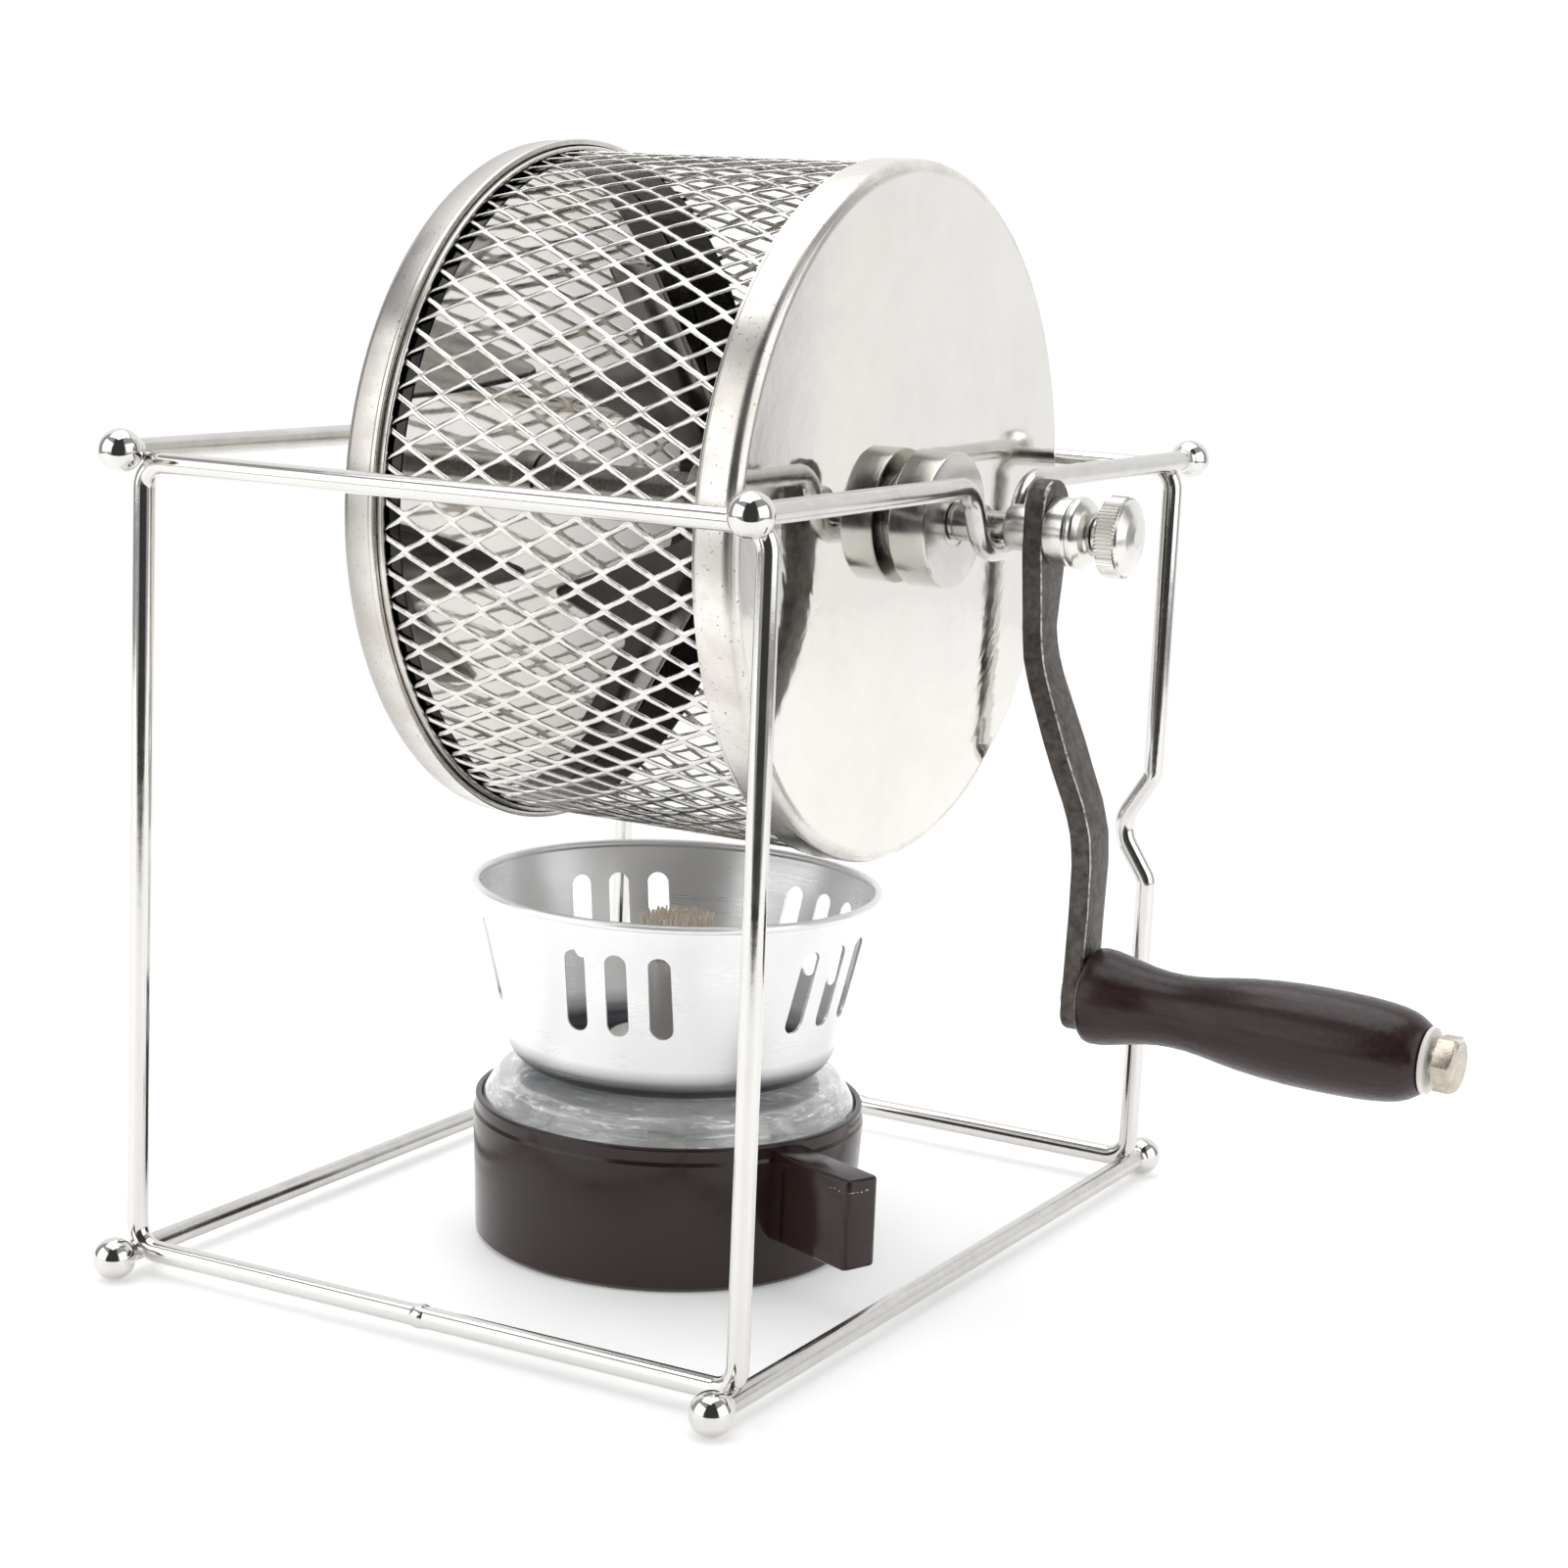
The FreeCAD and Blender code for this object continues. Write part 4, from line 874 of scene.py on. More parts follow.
class ROASTER_OT_caps(bpy.types.Operator):
    """Press the near cap and the sliding lid, and band the mesh's end outside and inside; the inside hoop
    is a dark ring of painted shade
    """

    bl_idname = "roaster.caps"
    bl_label = "Caps"

    def execute(self, context):
        radius = context.scene.roaster_drum.cap_radius * 1000
        steel = finish_cap()
        inside = radius - 0.8
        cap = rounded([(CAP_FACE, SHAFT_R, 0), (CAP_FACE, radius, 2.7), (42.2, radius, 0.2),
                       (41.8, radius - 0.18, 0.2), (41.3, radius, 0.12), (41.3, inside, 0),
                       (49.2, inside, 1.9), (49.2, SHAFT_R, 0)], 7)
        outer = 70.4
        curl, inner = outer + 0.4, outer - 0.7
        lid = rounded([(LID_FACE, LID_BORE_R, 0), (LID_FACE, outer, 2.0), (-30.5, outer, 0.4),
                       (-30.1, curl, 0.3), (-29.1, curl, 0.3), (-29.1, inner, 0.1), (-36.4, inner, 1.3),
                       (-36.4, LID_BORE_R, 0)], 4)
        band = rounded([(BAND_START, 68.7, 0), (BAND_START, 69.4, 0), (-28.1, 69.4, 0.25),
                        (-27.9, 69.1, 0), (-27.9, 68.7, 0)], 2)
        # The inside hoop's near-black finish is painted shade within the mesh's end.
        hoop = rounded([(BAND_START, 67.2, 0), (BAND_START, 67.6, 0), (-25.2, 67.6, 0.15),
                        (-25.2, 67.2, 0.15)], 2)
        hoop_shade = finish_sheet("Hoop painted shade", (0.05, 0.048, 0.045))
        for profile, name, body, slot, finish, nodes in (
                (cap, "near_cap_shell", "drum", "cap_steel", steel, ["near_cap"]),
                (lid, "far_lid_shell", "lid", "cap_steel", steel, ["far_lid"]),
                (band, "mesh_band", "drum", "cap_steel", steel, ["mesh_ring"]),
                (hoop, "mesh_hoop", "drum", "stirrer_steel", hoop_shade, ())):
            shell = turned(profile, SHAFT, X, 192, closed=True)
            place_piece(shell, name, body, finish, nodes, 30)
        return {"FINISHED"}


class ROASTER_OT_mesh(bpy.types.Operator):
    """Cut one diamond of expanded mesh, repeat it flat and roll it into the drum"""

    bl_idname = "roaster.mesh"
    bl_label = "Expanded Mesh"

    def execute(self, context):
        size = context.scene.roaster_drum
        radius = size.mesh_radius
        high = TAU * radius / size.cells
        columns, sheet_start, sheet_turn = 8, mm(-40.4), 1.05
        lid_end, cap_end = mm(-36.0), mm(47.4)
        object_mode()
        bpy.ops.mesh.primitive_circle_add(vertices=4, radius=1, fill_type="NGON")
        tile = bpy.context.object
        edit_mode()
        bpy.ops.transform.resize(value=(size.cell_length / 2, high / 2, 1), center_override=(0, 0, 0))
        xs = [abs(v.co.x) for v in tile.data.vertices]
        if max(xs) < size.cell_length / 4:
            raise RuntimeError("the mesh diamond lies the wrong way round")
        bpy.ops.mesh.subdivide(number_cuts=2)
        bpy.ops.mesh.select_all(action="SELECT")
        bpy.ops.mesh.inset(thickness=size.strand / 2, use_boundary=True)
        bpy.ops.mesh.delete(type="ONLY_FACE")
        inside = self.opening_test(size.cell_length / 2, high / 2)
        select_where(tile, verts=lambda co: inside(co) and abs(co.x) < size.cell_length * 0.3)
        bpy.ops.mesh.vertices_smooth(factor=0.5, repeat=2)
        for way in (-1, 1):
            select_where(tile, verts=lambda co: inside(co) and co.y * way > high / 20)
            bpy.ops.transform.translate(value=(0, 0, way * size.tilt))
        object_mode()
        pair = copied(tile, Matrix.Translation((size.cell_length / 2, high / 2, 0)))
        joined(tile, pair)
        for count, step in ((columns, (size.cell_length, 0, 0)), (size.cells, (0, high, 0))):
            modify(tile, "ARRAY", count=count, use_relative_offset=False, use_constant_offset=True,
                   constant_offset_displace=step, use_merge_vertices=True, merge_threshold=1e-5)
        self.roll(tile, radius, SHAFT.x + sheet_start, math.radians(sheet_turn + 360 / size.cells / 2))
        edit_mode()
        bpy.ops.mesh.remove_doubles(threshold=1e-5)
        for end, before in ((lid_end, True), (cap_end, False)):
            bpy.ops.mesh.select_all(action="SELECT")
            bpy.ops.mesh.bisect(plane_co=(SHAFT.x + end, 0, 0), plane_no=X,
                                clear_inner=before, clear_outer=not before)
        object_mode()
        modify(tile, "SOLIDIFY", thickness=size.thickness, offset=-1.0)
        soften(tile, size.strand * 0.2, 1, 50)
        place_piece(tile, "mesh_drum", "drum", finish_mesh(), ["mesh_tube"], 50)
        return {"FINISHED"}

    @staticmethod
    def opening_test(half_length, half_height):
        """Test that picks the vertices round the opening and not those on the tile's edge."""
        return lambda co: abs(co.x) / half_length + abs(co.y) / half_height < 0.97

    @staticmethod
    def roll(obj, radius, start, angle):
        """Wraps the flat sheet round the shaft, outside face outwards."""
        for vert in obj.data.vertices:
            turn = vert.co.y / radius + angle
            reach = radius + vert.co.z
            across, up = reach * math.cos(turn), reach * math.sin(turn)
            vert.co = (start + vert.co.x, SHAFT.y - across, SHAFT.z + up)


class ROASTER_OT_shaft(bpy.types.Operator):
    """Turn the shaft, its collars, the hub and the journal spindle"""

    bl_idname = "roaster.shaft"
    bl_label = "Shaft and Hub"

    def execute(self, context):
        steel = finish_turned("Turned steel", (0.60, 0.585, 0.56), 0.16, 0.34)
        bright = finish_turned("Faced steel", (0.66, 0.65, 0.62), 0.12, 0.28, 7000.0)
        shaft_end = 55.8
        turned_pieces = (
            ("shaft_turned", "shaft", "drum", steel, [
                (-76.6, 0, 0), (-76.6, 4.0, 0.6), (-71.8, 4.0, 0.3), (-71.8, JOURNAL_R, 0),
                (-66.2, JOURNAL_R, 0), (-66.2, SHAFT_R, 0.5), (shaft_end, SHAFT_R, 0),
                (shaft_end, 0, 0)], False),
            ("hub_spacer_turned", "hub_spacer", "drum", steel, [
                (CAP_FACE, SHAFT_R, 0), (CAP_FACE, 9.0, 0.2), (DISC_START, 9.0, 0.2),
                (DISC_START, SHAFT_R, 0)], True),
            ("hub_disc_turned", "hub_disc", "drum", bright, [
                (DISC_START, SHAFT_R, 0), (DISC_START, 13.5, 0.5), (DISC_FACE, 13.5, 0.5),
                (DISC_FACE, 5.4, 0.2), (59.6, 5.0, 0.2), (59.6, STUD_R, 0), (shaft_end, STUD_R, 0),
                (shaft_end, SHAFT_R, 0)], True),
            ("spindle_turned", "spindle", "drum", steel, [
                (shaft_end, 0, 0), (shaft_end, STUD_R, 0), (DISC_FACE, STUD_R, 0),
                (DISC_FACE, 3.8, 0.2), (66.4, 3.8, 0.5), (66.4, JOURNAL_R, 0), (72.0, JOURNAL_R, 0),
                (72.0, 4.5, 0.5), (77.2, 4.5, 0.2), (77.2, STUD_R, 0), (STUD_END, STUD_R, 0.3),
                (STUD_END, 0, 0)], False),
            ("stop_collar_turned", "stop_collar", "drum", steel, [
                (BAND_START, SHAFT_R, 0), (BAND_START, 6.0, 0.3), (-31.1, 6.0, 0.3),
                (-31.1, SHAFT_R, 0)], True),
            ("lid_bush_turned", "lid_bush", "lid", bright, [
                (-42.1, LID_BORE_R, 0), (-42.1, 13.5, 0.5), (LID_FACE, 13.5, 0.2),
                (LID_FACE, LID_BORE_R, 0)], True),
            ("stirrer_hub_turned", "stirrer_hub", "drum", steel, [
                (2.0, SHAFT_R, 0), (2.0, 8.0, 0.5), (16.0, 8.0, 0.5), (16.0, SHAFT_R, 0)], True),
        )
        for name, node, body, finish, corners, closed in turned_pieces:
            piece = turned(rounded(corners, 3), SHAFT, X, 72, closed)
            place_piece(piece, name, body, finish, [node], 30)
        frame["nodes"]["grub_screw"].data.materials.clear()
        frame["nodes"]["grub_screw"].data.materials.append(steel)
        return {"FINISHED"}


class ROASTER_OT_stirrers(bpy.types.Operator):
    """Cut one stirring vane from sheet and copy it round its hub"""

    bl_idname = "roaster.stirrers"
    bl_label = "Stirring Vanes"

    def execute(self, context):
        sheet, count, first = 1.2, 4, 132
        root, tip = 7.9, 64
        outline = rounded([(14, root, 0), (14, tip, 2), (4, tip, 2), (4, 40, 4), (-20, 30, 1.5),
                           (4, 13, 4), (4, root, 0)], 5)
        points = [SHAFT + Vector(mm((x, -sheet / 2, reach))) for x, reach in outline]
        vane = cut_sheet(points, mm((0, sheet, 0)))
        soften(vane, mm(0.2), 2, 60)
        others = [copied(vane, about(SHAFT, -360 / count * turn, "X")) for turn in range(1, count)]
        joined(vane, *others)
        vane.data.transform(about(SHAFT, first, "X"))
        steel = finish_sheet("Satin sheet", (0.25, 0.24, 0.23))
        place_piece(vane, "stirring_vane_set", "drum", steel, ["stirring_vanes"], 30)
        return {"FINISHED"}


# ---------------------------------------------------------------- operators: crank

class ROASTER_OT_arm(bpy.types.Operator):
    """Cast the crank arm: cut its front outline, then bend it away from the stand"""

    bl_idname = "roaster.arm"
    bl_label = "Crank Arm"

    def execute(self, context):
        thick = context.scene.roaster_crank.arm_thickness
        half = [(6.2, 9.85, 5.9), (6.2, -4, 12), (3.9, -19, 20), (5.4, -41, 25), (4.4, -74, 40),
                (4.7, -97.45, 4.4)]
        outline = rounded(half + [(-y, z, r) for y, z, r in reversed(half)], 6, closed=True)
        points = [SHAFT + Vector((-thick / 2, mm(y), mm(z))) for y, z in outline]
        arm = cut_sheet(points, (thick, 0, 0))
        soften(arm, mm(0.6), 2, 60)
        edit_mode()
        for level in range(-94, 10, 3):
            bpy.ops.mesh.select_all(action="SELECT")
            bpy.ops.mesh.bisect(plane_co=SHAFT + Z * mm(level), plane_no=Z)
        object_mode()
        self.bend(arm)
        place_piece(arm, "crank_arm_cast", "drum", finish_iron(), ["crank_arm"], 45)
        # The arm's front edge gets a rubbed finish that is partly a painted highlight.
        arm.data.materials.append(finish_parting_edge_highlight())
        object_mode()
        bpy.context.view_layer.objects.active = arm
        edit_mode()
        select_where(arm, faces=self.on_front_edge)
        arm.active_material_index = 1
        bpy.ops.object.material_slot_assign()
        object_mode()
        return {"FINISHED"}

    @staticmethod
    def on_front_edge(face):
        """Picks the narrow faces between the arm's sides and its outer face."""
        return face.area < 3e-6 and 0.2 < abs(face.normal.y) < 0.85 and face.normal.x > 0.15

    @staticmethod
    def bend(arm):
        """Moves each level of the flat arm out along X by the arm's side path."""
        stations = [(79.3, 12), (79.3, -19), (79.9, -24), (81.4, -29), (84.6, -37), (88.2, -46),
                    (91.2, -53), (92.7, -58.5), (93.15, -64), (93.05, -72), (92.7, -90), (92.5, -99)]
        lowest = stations[-1][1]
        for vert in arm.data.vertices:
            z = (vert.co.z - SHAFT.z) * 1000
            for (x0, z0), (x1, z1) in zip(stations, stations[1:]):
                if z >= z1 or z1 == lowest:
                    share = min(max((z0 - z) / (z0 - z1), 0), 1)
                    slope = (x1 - x0) / (z0 - z1)
                    middle = x0 + (x1 - x0) * share
                    offset = (vert.co.x - SHAFT.x) * math.sqrt(1 + slope * slope)
                    vert.co.x = SHAFT.x + mm(middle) + offset
                    break


class ROASTER_OT_nuts(bpy.types.Operator):
    """Turn the clamp nut and the knurled thumb screw"""

    bl_idname = "roaster.nuts"
    bl_label = "Nut and Thumb Screw"

    def execute(self, context):
        nickel = finish_turned("Nickel plate", (0.80, 0.785, 0.75), 0.14, 0.30, 6000.0, 0.012)
        thread_r, bore_r = 2.0, 2.05
        outline = rounded([(ARM_FACE, STUD_R, 0), (ARM_FACE, 6.7, 0.4), (85.4, 6.7, 0.3),
                           (85.9, 6.3, 0.2), (86.4, 7.1, 0.4), (87.4, 7.0, 0.8), (88.6, 5.8, 0.8),
                           (89.3, 4.9, 0.5), (90.0, 4.4, 0.3), (90.0, bore_r, 0),
                           (STUD_END, bore_r, 0), (STUD_END, STUD_R, 0)], 4)
        nut = turned(outline, SHAFT, X, 96, closed=True)
        place_piece(nut, "clamp_nut_turned", "drum", nickel, ["clamp_nut"], 30)
        knurls = context.scene.roaster_crank.knurls
        outline = rounded([(84.4, 0, 0), (84.4, thread_r, 0.4), (90.15, thread_r, 0),
                           (90.15, 3.5, 0.3), (92.6, 3.5, 0.2), (92.65, 7.2, 0), (93.0, 7.9, 0),
                           (96.4, 7.9, 0), (96.7, 7.3, 0.2), (97.2, 6.9, 0.3), (98.2, 4.6, 1.2),
                           (98.75, 2.0, 2), (98.8, 0, 0)], 4)
        screw = turned(outline, SHAFT, X, knurls * 2)
        edit_mode()
        step = math.pi / knurls

        def in_groove(co):
            reach = math.hypot(co.y - SHAFT.y, co.z - SHAFT.z)
            turn = math.atan2(co.y - SHAFT.y, co.z - SHAFT.z) / step
            return reach > mm(7.5) and round(turn) % 2 == 1

        select_where(screw, verts=in_groove)
        bpy.ops.transform.resize(value=(1, 0.93, 0.93), center_override=SHAFT)
        place_piece(screw, "thumb_screw_turned", "thumb_screw", nickel, ["thumb_screw"], 22)
        return {"FINISHED"}


def on_grip(obj):
    """Turns a piece made along X at the origin on to the grip's axis."""
    obj.data.transform(Matrix.Translation(GRIP_POINT) @ Matrix.Rotation(GRIP_LEAN, 4, "Y"))
    return obj


class ROASTER_OT_grip(bpy.types.Operator):
    """Turn the grip, its washer and its hex bolt"""

    bl_idname = "roaster.grip"
    bl_label = "Grip"

    def execute(self, context):
        shank_r, bore_r = 3.0, 3.05
        shape = [(2.4, bore_r), (2.4, 8.0), (2.8, 8.8), (3.4, 9.35), (4.4, 9.55), (6.5, 9.4), (9.0, 8.9),
                 (12, 8.25), (15, 7.65), (18, 7.28), (21.2, 7.2), (24, 7.35), (27.5, 7.8), (31, 8.4),
                 (35, 9.0), (40, 9.5), (45, 9.8), (50, 9.9), (54.5, 9.88), (58.5, 9.75), (62, 9.5),
                 (65, 9.1), (67, 8.6), (68.5, 8.0), (69.6, 7.3), (70.3, 6.8), (70.6, 6.3), (70.6, bore_r)]
        grip = on_grip(turned(shape, ORIGIN, X, 96, closed=True))
        place_piece(grip, "grip_wood_turned", "grip", finish_lacquer(), ["grip"], 45)
        ring = rounded([(70.9, shank_r, 0), (70.9, 6.4, 0.3), (71.9, 6.4, 0.3), (71.9, shank_r, 0)], 4)
        washer = on_grip(turned(ring, ORIGIN, X, 64, closed=True))
        nylon = finish_washer()
        place_piece(washer, "grip_washer_turned", "drum", nylon, ["grip_washer"], 40)
        head_start = 73.2
        head = self.hex_head(head_start)
        shank = turned([(-2.1, 0), (-2.1, shank_r), (head_start, shank_r), (head_start, 0)], ORIGIN, X, 32)
        button = rounded([(-2.7, 0, 0), (-2.65, 3.2, 0.4), (-2.4, 3.9, 0.3), (-2.05, 4.0, 0),
                          (-2.0, 0, 0)], 4)
        bolt = on_grip(joined(head, shank, turned(button, ORIGIN, X, 32)))
        place_piece(bolt, "grip_bolt_hex", "drum", finish_zinc(), ["grip_bolt"], 30)
        return {"FINISHED"}

    @staticmethod
    def hex_head(start):
        """Hex prism whose outer corners are cut back by a cone."""
        across_flats, height, turn = 10, 4.0, -4
        object_mode()
        bpy.ops.mesh.primitive_cylinder_add(vertices=6, radius=mm(across_flats / math.sqrt(3)),
                                            depth=mm(height), location=(mm(start + height / 2), 0, 0),
                                            rotation=(0, math.pi / 2, 0))
        settle()
        head = bpy.context.object
        head.data.transform(Matrix.Rotation(math.radians(turn), 4, "X"))
        cone = rounded([(start, 0, 0), (start, 5.7, 0.3), (start + 3.2, 5.8, 0.3),
                        (start + height, 4.5, 0.3), (start + height, 0, 0)], 3)
        carve(head, turned(cone, ORIGIN, X, 48), "INTERSECT")
        soften(head, mm(0.18), 2, 40)
        return head


# ---------------------------------------------------------------- operators: burner

class ROASTER_OT_base(bpy.types.Operator):
    """Mould the burner's base with its side handle"""

    bl_idname = "roaster.base"
    bl_label = "Burner Base"

    def execute(self, context):
        size = context.scene.roaster_burner
        foot, rim = size.foot_radius * 1000, size.rim_radius * 1000
        bottom = 2
        profile = rounded([(0, 0, 0), (0, foot - 1.4, 0), (0.5, foot - 0.7, 0.3), (1.2, foot, 0.4),
                           (26.9, rim, 0.25), (27.6, rim - 0.45, 0.2), (BASE_TOP_Z, rim - 0.35, 0.5),
                           (BASE_TOP_Z, rim - 1.7, 0.3), (bottom, foot - 1.3, 1.0), (bottom, 0, 0)], 4)
        cup = turned(profile, ORIGIN, Z, 160)
        joined(cup, self.handle())
        place_piece(cup, "burner_base_moulded", "burner", finish_resin(), ["burner_base"], 35)
        return {"FINISHED"}

    @staticmethod
    def handle():
        """Box with rounded edges and an arched recess in each side, open at the bottom."""
        reach, root, width, low, high = 64.2, 38.2, 8.2, 10.7, 29.2
        recess, cutter_depth, turn = 0.8, 2.0, -22
        object_mode()
        bpy.ops.mesh.primitive_cube_add(size=1, location=mm(((reach + root) / 2, 0, (low + high) / 2)),
                                        scale=mm((reach - root, width, high - low)))
        settle()
        handle = bpy.context.object
        edit_mode()
        select_where(handle, edges=lambda a, b: abs(a.z - b.z) > mm(10) and a.x > mm(60))
        bpy.ops.mesh.bevel(offset=mm(1.3), segments=4, affect="EDGES")
        select_where(handle, verts=lambda co: co.z > mm(high - 1))
        bpy.ops.transform.resize(value=(1, 0.96, 1), center_override=(0, 0, 0))
        object_mode()
        soften(handle, mm(0.7), 3, 40)
        near, far, foot, top = 43.7, 54.7, 9.7, 26.6
        arch = rounded([(near, foot, 0), (near, top, 1.0), (far, top, 6.6), (far, foot, 0)], 6, closed=True)
        for side in (-1, 1):
            points = [Vector(mm((x, side * (width / 2 - recess), z))) for x, z in arch]
            carve(handle, cut_sheet(points, mm((0, side * cutter_depth, 0))))
        handle.data.transform(Matrix.Rotation(math.radians(turn), 4, "Z"))
        return handle


class ROASTER_OT_font(bpy.types.Operator):
    """Press the glass font and turn the wick holder"""

    bl_idname = "roaster.font"
    bl_label = "Glass Font"

    def execute(self, context):
        outside = [(2, 0, 0), (2, 38.3, 1.6), (BASE_TOP_Z, 39.1, 3), (35.5, 35.9, 4), (37.1, 30.1, 6),
                   (37.1, 14, 0.6), (NECK_TOP_Z, 14, 0.8)]
        inside = [(NECK_TOP_Z, 10.5, 0.4), (34.6, 10.5, 0.8), (34.6, 27.6, 4), (33.0, 33.4, 3),
                  (27.9, 36.6, 2), (5, 35.8, 2), (5, 0, 0)]
        glass = turned(rounded(outside + inside, 6), ORIGIN, Z, 144)
        place_piece(glass, "glass_font_pressed", "burner", finish_glass(), ["glass_font"], 50)
        metal = finish_turned("Holder metal", (0.80, 0.79, 0.76), 0.3, 0.45)
        plug_r, flange_r = 10.45, 13.4
        profile = rounded([(36.5, WICK_R, 0), (36.5, plug_r, 0.5), (NECK_TOP_Z, plug_r, 0),
                           (NECK_TOP_Z, flange_r, 0.3), (43.0, flange_r, 0.5), (43.0, 6.0, 0.8),
                           (61.6, 5.9, 0.2), (61.9, 6.1, 0.2), (62.5, 6.0, 0.2), (62.5, WICK_R, 0)], 4)
        holder = turned(profile, ORIGIN, Z, 64, closed=True)
        place_piece(holder, "wick_holder_turned", "burner", metal, ["wick_holder"], 35)
        return {"FINISHED"}


class ROASTER_OT_wick(bpy.types.Operator):
    """Bundle the wick and fray its head into loose fibres"""

    bl_idname = "roaster.wick"
    bl_label = "Wick"

    def execute(self, context):
        spread, root_z, sunk = 7.0, 65.0, 1.6
        core = turned(rounded([(9, 0, 0), (9, WICK_R, 1), (62.5, WICK_R, 0), (63.6, 6.4, 0.8),
                               (67.4, 7.2, 1.5), (68.0, 0, 0)], 4), ORIGIN, Z, 40)
        rng = random.Random(7)
        object_mode()
        bpy.ops.mesh.primitive_cone_add(vertices=4, radius1=mm(0.34), radius2=mm(0.2), depth=mm(9),
                                        end_fill_type="TRIFAN")
        fibre = bpy.context.object
        edit_mode()
        for level in (-1.5, 1.5):
            bpy.ops.mesh.select_all(action="SELECT")
            bpy.ops.mesh.bisect(plane_co=mm((0, 0, level)), plane_no=Z)
        object_mode()
        fibres = []
        for _ in range(context.scene.roaster_burner.fibres):
            out = math.sqrt(rng.random()) * spread
            turn = rng.random() * TAU
            lean = out / spread * rng.uniform(0.02, 0.25) + rng.gauss(0, 0.06)
            top = rng.uniform(0.3, 1.0)
            root = mm((out * math.cos(turn), out * math.sin(turn), root_z - (1 - top) * sunk))
            tilt = Matrix.Rotation(turn, 4, "Z") @ Matrix.Rotation(lean, 4, "Y")
            fibres.append(copied(fibre, Matrix.Translation(root) @ tilt))
        bpy.data.objects.remove(fibre)
        joined(core, *fibres)
        place_piece(core, "wick_cotton_bundle", "burner", finish_cotton(), ["wick"], 60)
        return {"FINISHED"}


class ROASTER_OT_windshield(bpy.types.Operator):
    """Spin the windshield's cup, roll its rim and punch its slots"""

    bl_idname = "roaster.windshield"
    bl_label = "Windshield"

    def execute(self, context):
        low, high, neck_r, metal = 37.4, 75.4, 14.3, 0.6
        bead_r, bead_ring_r, bead_sides = 0.9, 42.0, 12
        profile = rounded([(low, neck_r, 0), (low, 33.2, 7), (high, 42.3, 0), (high, 41.7, 0),
                           (low + metal, 32.74, 6.4), (low + metal, neck_r, 0)], 8)
        cup = turned(profile, ORIGIN, Z, 180, closed=True)
        carve(cup, self.slot_cutters())
        bead = [(high + bead_r * math.sin(turn), bead_ring_r + bead_r * math.cos(turn))
                for turn in (TAU * step / bead_sides for step in range(bead_sides))]
        joined(cup, turned(bead, ORIGIN, Z, 180, closed=True))
        shine = finish_shield()
        place_piece(cup, "windshield_spun", "windshield", shine, ["windshield"], 40)
        return {"FINISHED"}

    @staticmethod
    def slot_cutters():
        """Upright round-ended cutters in groups of three round the cup."""
        width, foot_z, rise, pitch = 4.6, 53.9, 13.0, 8.8
        groups, first = 5, -76
        object_mode()
        bpy.ops.mesh.primitive_cylinder_add(vertices=24, radius=mm(width / 2), depth=mm(14),
                                            location=mm((38, 0, foot_z)), rotation=(0, math.pi / 2, 0))
        settle()
        cutter = bpy.context.object
        edit_mode()
        select_where(cutter, verts=lambda co: co.z > mm(foot_z + 0.01))
        bpy.ops.transform.translate(value=mm((0, 0, rise)))
        object_mode()
        cutters = []
        for group in range(groups):
            turn = Matrix.Rotation(math.radians(360 / groups * group + first), 4, "Z")
            for offset in (-pitch, 0, pitch):
                cutters.append(copied(cutter, turn @ Matrix.Translation(mm((0, offset, 0)))))
        bpy.data.objects.remove(cutter)
        return joined(*cutters)


# ---------------------------------------------------------------- operator: stage

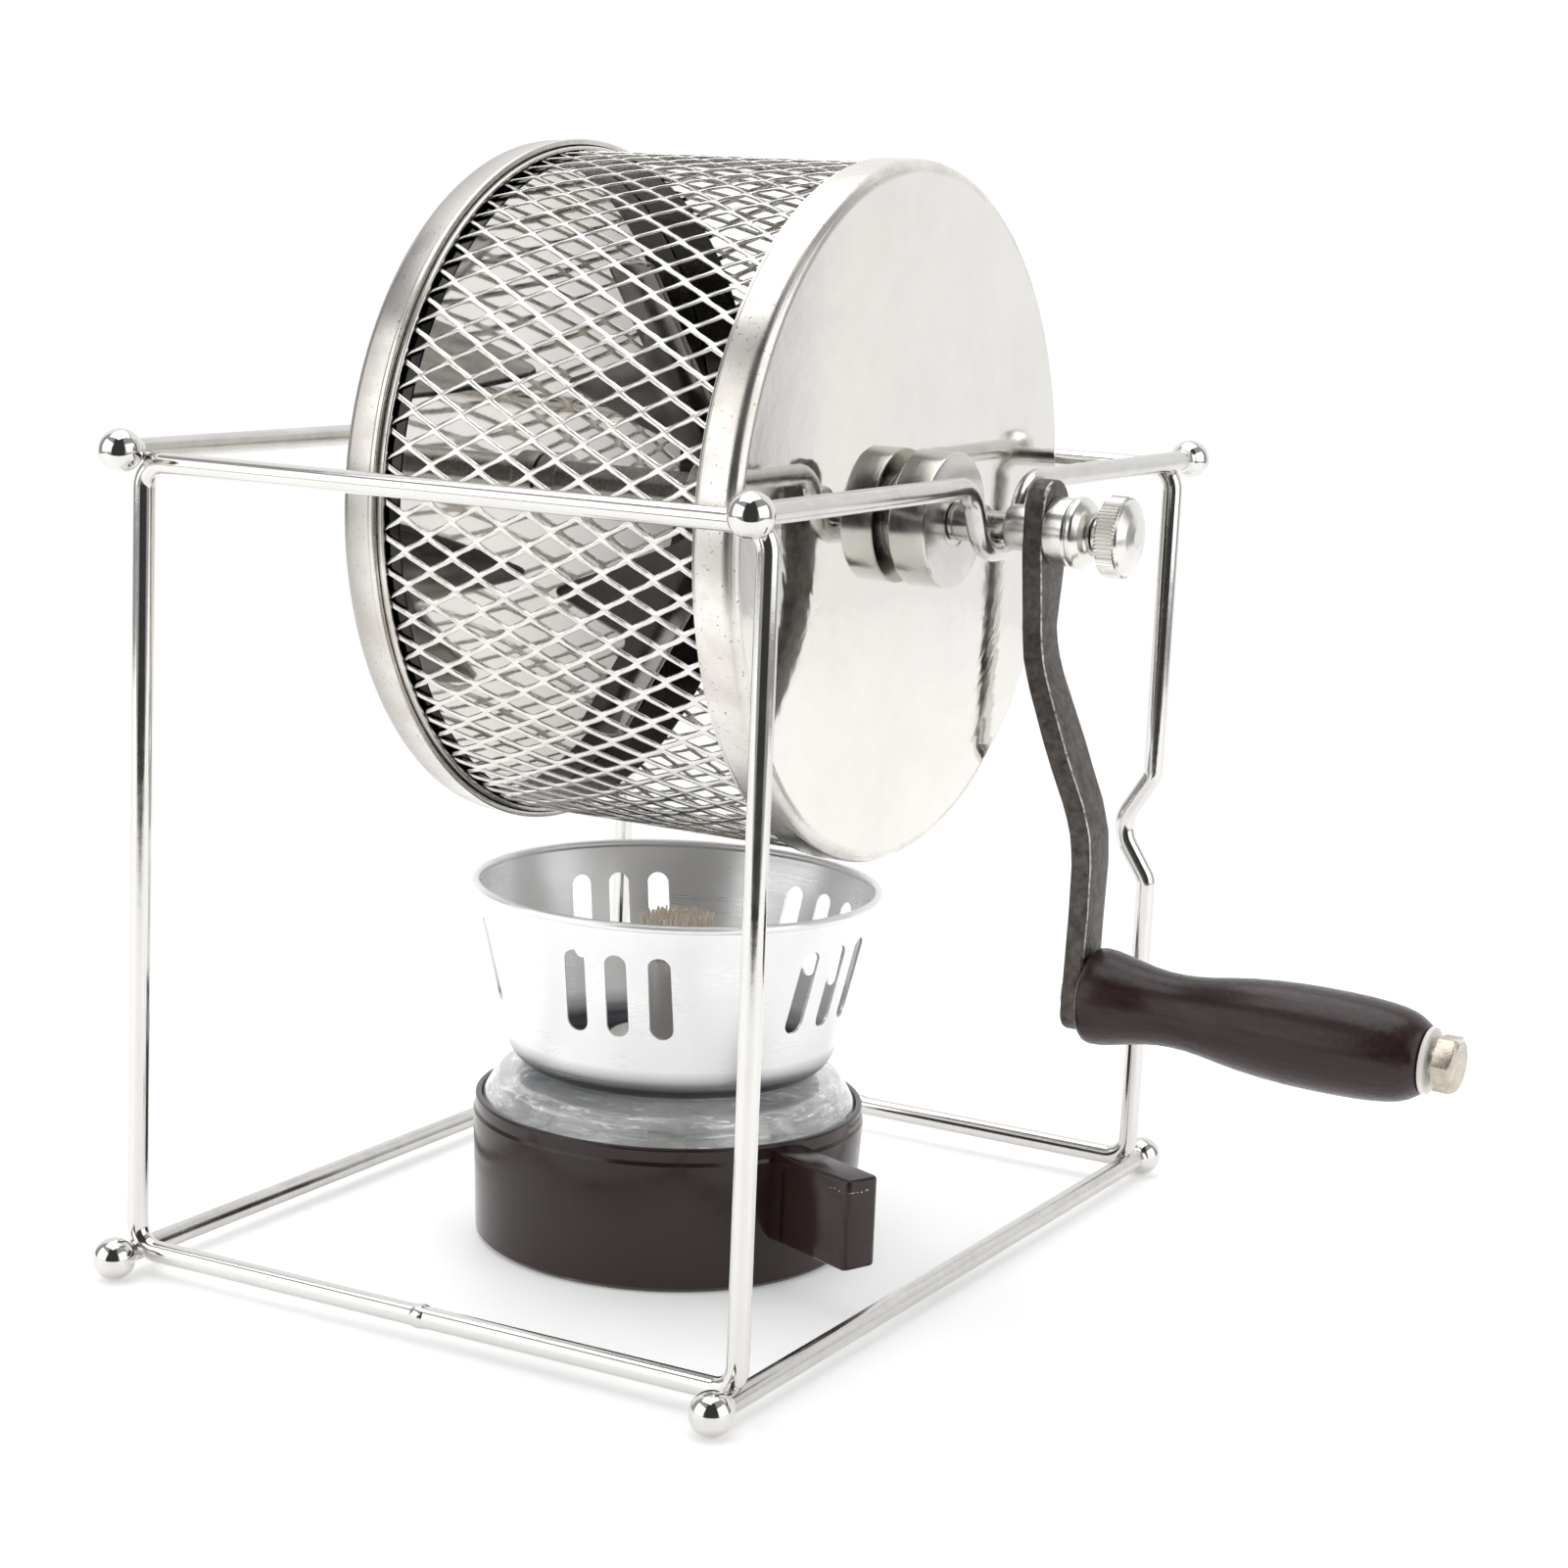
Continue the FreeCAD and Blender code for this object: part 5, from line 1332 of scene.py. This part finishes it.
class ROASTER_OT_stage(bpy.types.Operator):
    """Lay the floor, hang the soft lights and aim the camera"""

    bl_idname = "roaster.stage"
    bl_label = "Stage"

    def execute(self, context):
        settings = context.scene.roaster_stage
        self.floor(settings)
        self.lights()
        self.sky(context.scene)
        self.camera(context.scene, settings.lens)
        context.scene.view_settings.view_transform = "Standard"
        return {"FINISHED"}

    @staticmethod
    def floor(settings):
        """White table whose far part melts into the white behind it."""
        object_mode()
        bpy.ops.mesh.primitive_plane_add(size=2, location=(0, 0, 0))
        table = bpy.context.object
        table.scale = (0.9, 0.51, 1)
        table.rotation_euler = (0, 0, math.radians(29))
        table.location = (-0.044, 0.079, 0)
        settle()
        table.name = "table"
        material, tree, shader = new_finish("Table", Roughness=0.55, Base_Color=tuple(settings.floor),
                                           Emission_Color=(1, 1, 1), Emission_Strength=0.28)
        place = tree.add("ShaderNodeTexCoord").outputs["Object"]
        reach = tree.add("ShaderNodeVectorMath", {0: place}, operation="LENGTH").outputs["Value"]
        near = tree.ramp(reach, 0.22, 0.46, 1.0, 0.0)
        unseen = tree.math("SUBTRACT", 1.0, tree.add("ShaderNodeLightPath").outputs["Is Camera Ray"])
        tree.link(tree.math("MAXIMUM", near, unseen), shader.inputs["Alpha"])
        table.data.materials.append(material)

    @staticmethod
    def camera(scene, lens):
        camera = bpy.data.objects.new("camera", bpy.data.cameras.new("camera"))
        scene.collection.objects.link(camera)
        place = Vector((0.3316, -0.5545, 0.2173))
        right = Vector((0.8695, 0.4918, 0.0459))
        up = Vector((-0.1290, 0.1365, 0.9822))
        back = Vector((0.4768, -0.8599, 0.1821))
        aim = Matrix((right, up, back)).transposed().to_4x4()
        camera.matrix_world = Matrix.Translation(place) @ aim
        camera.data.lens = lens
        camera.data.sensor_width = 36
        camera.data.clip_end = 50
        scene.camera = camera

    @staticmethod
    def lights():
        for name, place, aim, width, height, power in (
                ("top_light", (-0.2, 0.05, 1.5), (0, 0, 0.05), 1.5, 1.4, 14.0),
                ("left_light", (-0.75, -1.05, 0.55), (0, 0, 0.12), 1.45, 1.1, 6.5),
                ("right_light", (1.3, 0.05, 0.55), (0, 0, 0.12), 1.35, 1.1, 6.0)):
            lamp = bpy.data.objects.new(name, bpy.data.lights.new(name, "AREA"))
            lamp.data.shape = "RECTANGLE"
            lamp.data.size, lamp.data.size_y, lamp.data.energy = width, height, power
            lamp.location = place
            lamp.rotation_euler = (Vector(place) - Vector(aim)).to_track_quat("Z", "Y").to_euler()
            bpy.context.scene.collection.objects.link(lamp)

    @staticmethod
    def sky(scene):
        """White for the camera; reflections find a pale backdrop and a dim room behind the camera."""
        world = bpy.data.worlds.new("studio")
        scene.world = world
        world.use_nodes = True
        tree = Tree(world.node_tree)
        background = world.node_tree.nodes["Background"]
        direction = tree.add("ShaderNodeTexCoord").outputs["Generated"]
        parts = tree.add("ShaderNodeSeparateXYZ", {"Vector": direction})
        turn = tree.math("ARCTAN2", parts.outputs["Y"], parts.outputs["X"])

        def sector(middle, half, soft):
            """1 within half of the direction middle, all in degrees, falling off over soft."""
            off = tree.math("ABSOLUTE", tree.math("SUBTRACT", turn, math.radians(middle)))
            return tree.ramp(off, math.radians(half - soft), math.radians(half + soft), 1.0, 0.0)

        low = tree.ramp(parts.outputs["Z"], 0.75, 0.9, 1.0, 0.0)
        backdrop = tree.math("MULTIPLY", sector(113, 59, 4), low)
        room = tree.ramp(sector(-61, 36, 4), 0.0, 1.0, 0.38, 0.05)
        light = tree.math("ADD", room, tree.math("MULTIPLY", backdrop, 0.66))
        seen = tree.add("ShaderNodeLightPath").outputs["Is Camera Ray"]
        tree.link(tree.math("MAXIMUM", light, seen), background.inputs["Strength"])
        background.inputs["Color"].default_value = (1, 1, 1, 1)


class ROASTER_PT_panel(bpy.types.Panel):
    """Sidebar panel that lists the operators and their sizes"""

    bl_idname = "ROASTER_PT_panel"
    bl_label = "Coffee Roaster"
    bl_space_type = "VIEW_3D"
    bl_region_type = "UI"
    bl_category = "Roaster"

    def draw(self, context):
        scene = context.scene
        for title, settings, _, operators in SECTIONS:
            box = self.layout.box()
            box.label(text=title)
            group = getattr(scene, settings)
            for key in group.__annotations__:
                box.prop(group, key)
            for operator in operators:
                box.operator(operator.bl_idname)


# Title in the panel, the scene's property, its settings, and the operators in the order they run
SECTIONS = (
    ("Stand", "roaster_stand", StandSettings,
     (ROASTER_OT_loops, ROASTER_OT_rods, ROASTER_OT_balls)),
    ("Drum", "roaster_drum", DrumSettings,
     (ROASTER_OT_caps, ROASTER_OT_mesh, ROASTER_OT_shaft, ROASTER_OT_stirrers)),
    ("Crank", "roaster_crank", CrankSettings,
     (ROASTER_OT_arm, ROASTER_OT_nuts, ROASTER_OT_grip)),
    ("Burner", "roaster_burner", BurnerSettings,
     (ROASTER_OT_base, ROASTER_OT_font, ROASTER_OT_wick, ROASTER_OT_windshield)),
    ("Stage", "roaster_stage", StageSettings, (ROASTER_OT_stage,)),
)


def register():
    for _, name, settings, operators in SECTIONS:
        bpy.utils.register_class(settings)
        setattr(bpy.types.Scene, name, PointerProperty(type=settings))
        for operator in operators:
            bpy.utils.register_class(operator)
    bpy.utils.register_class(ROASTER_PT_panel)


def unregister():
    bpy.utils.unregister_class(ROASTER_PT_panel)
    for _, name, settings, operators in reversed(SECTIONS):
        for operator in reversed(operators):
            bpy.utils.unregister_class(operator)
        delattr(bpy.types.Scene, name)
        bpy.utils.unregister_class(settings)


def main():
    register()
    for _, _, _, operators in SECTIONS:
        for operator in operators:
            category, name = operator.bl_idname.split(".")
            getattr(getattr(bpy.ops, category), name)()
    object_mode()


if __name__ == "__main__":
    main()
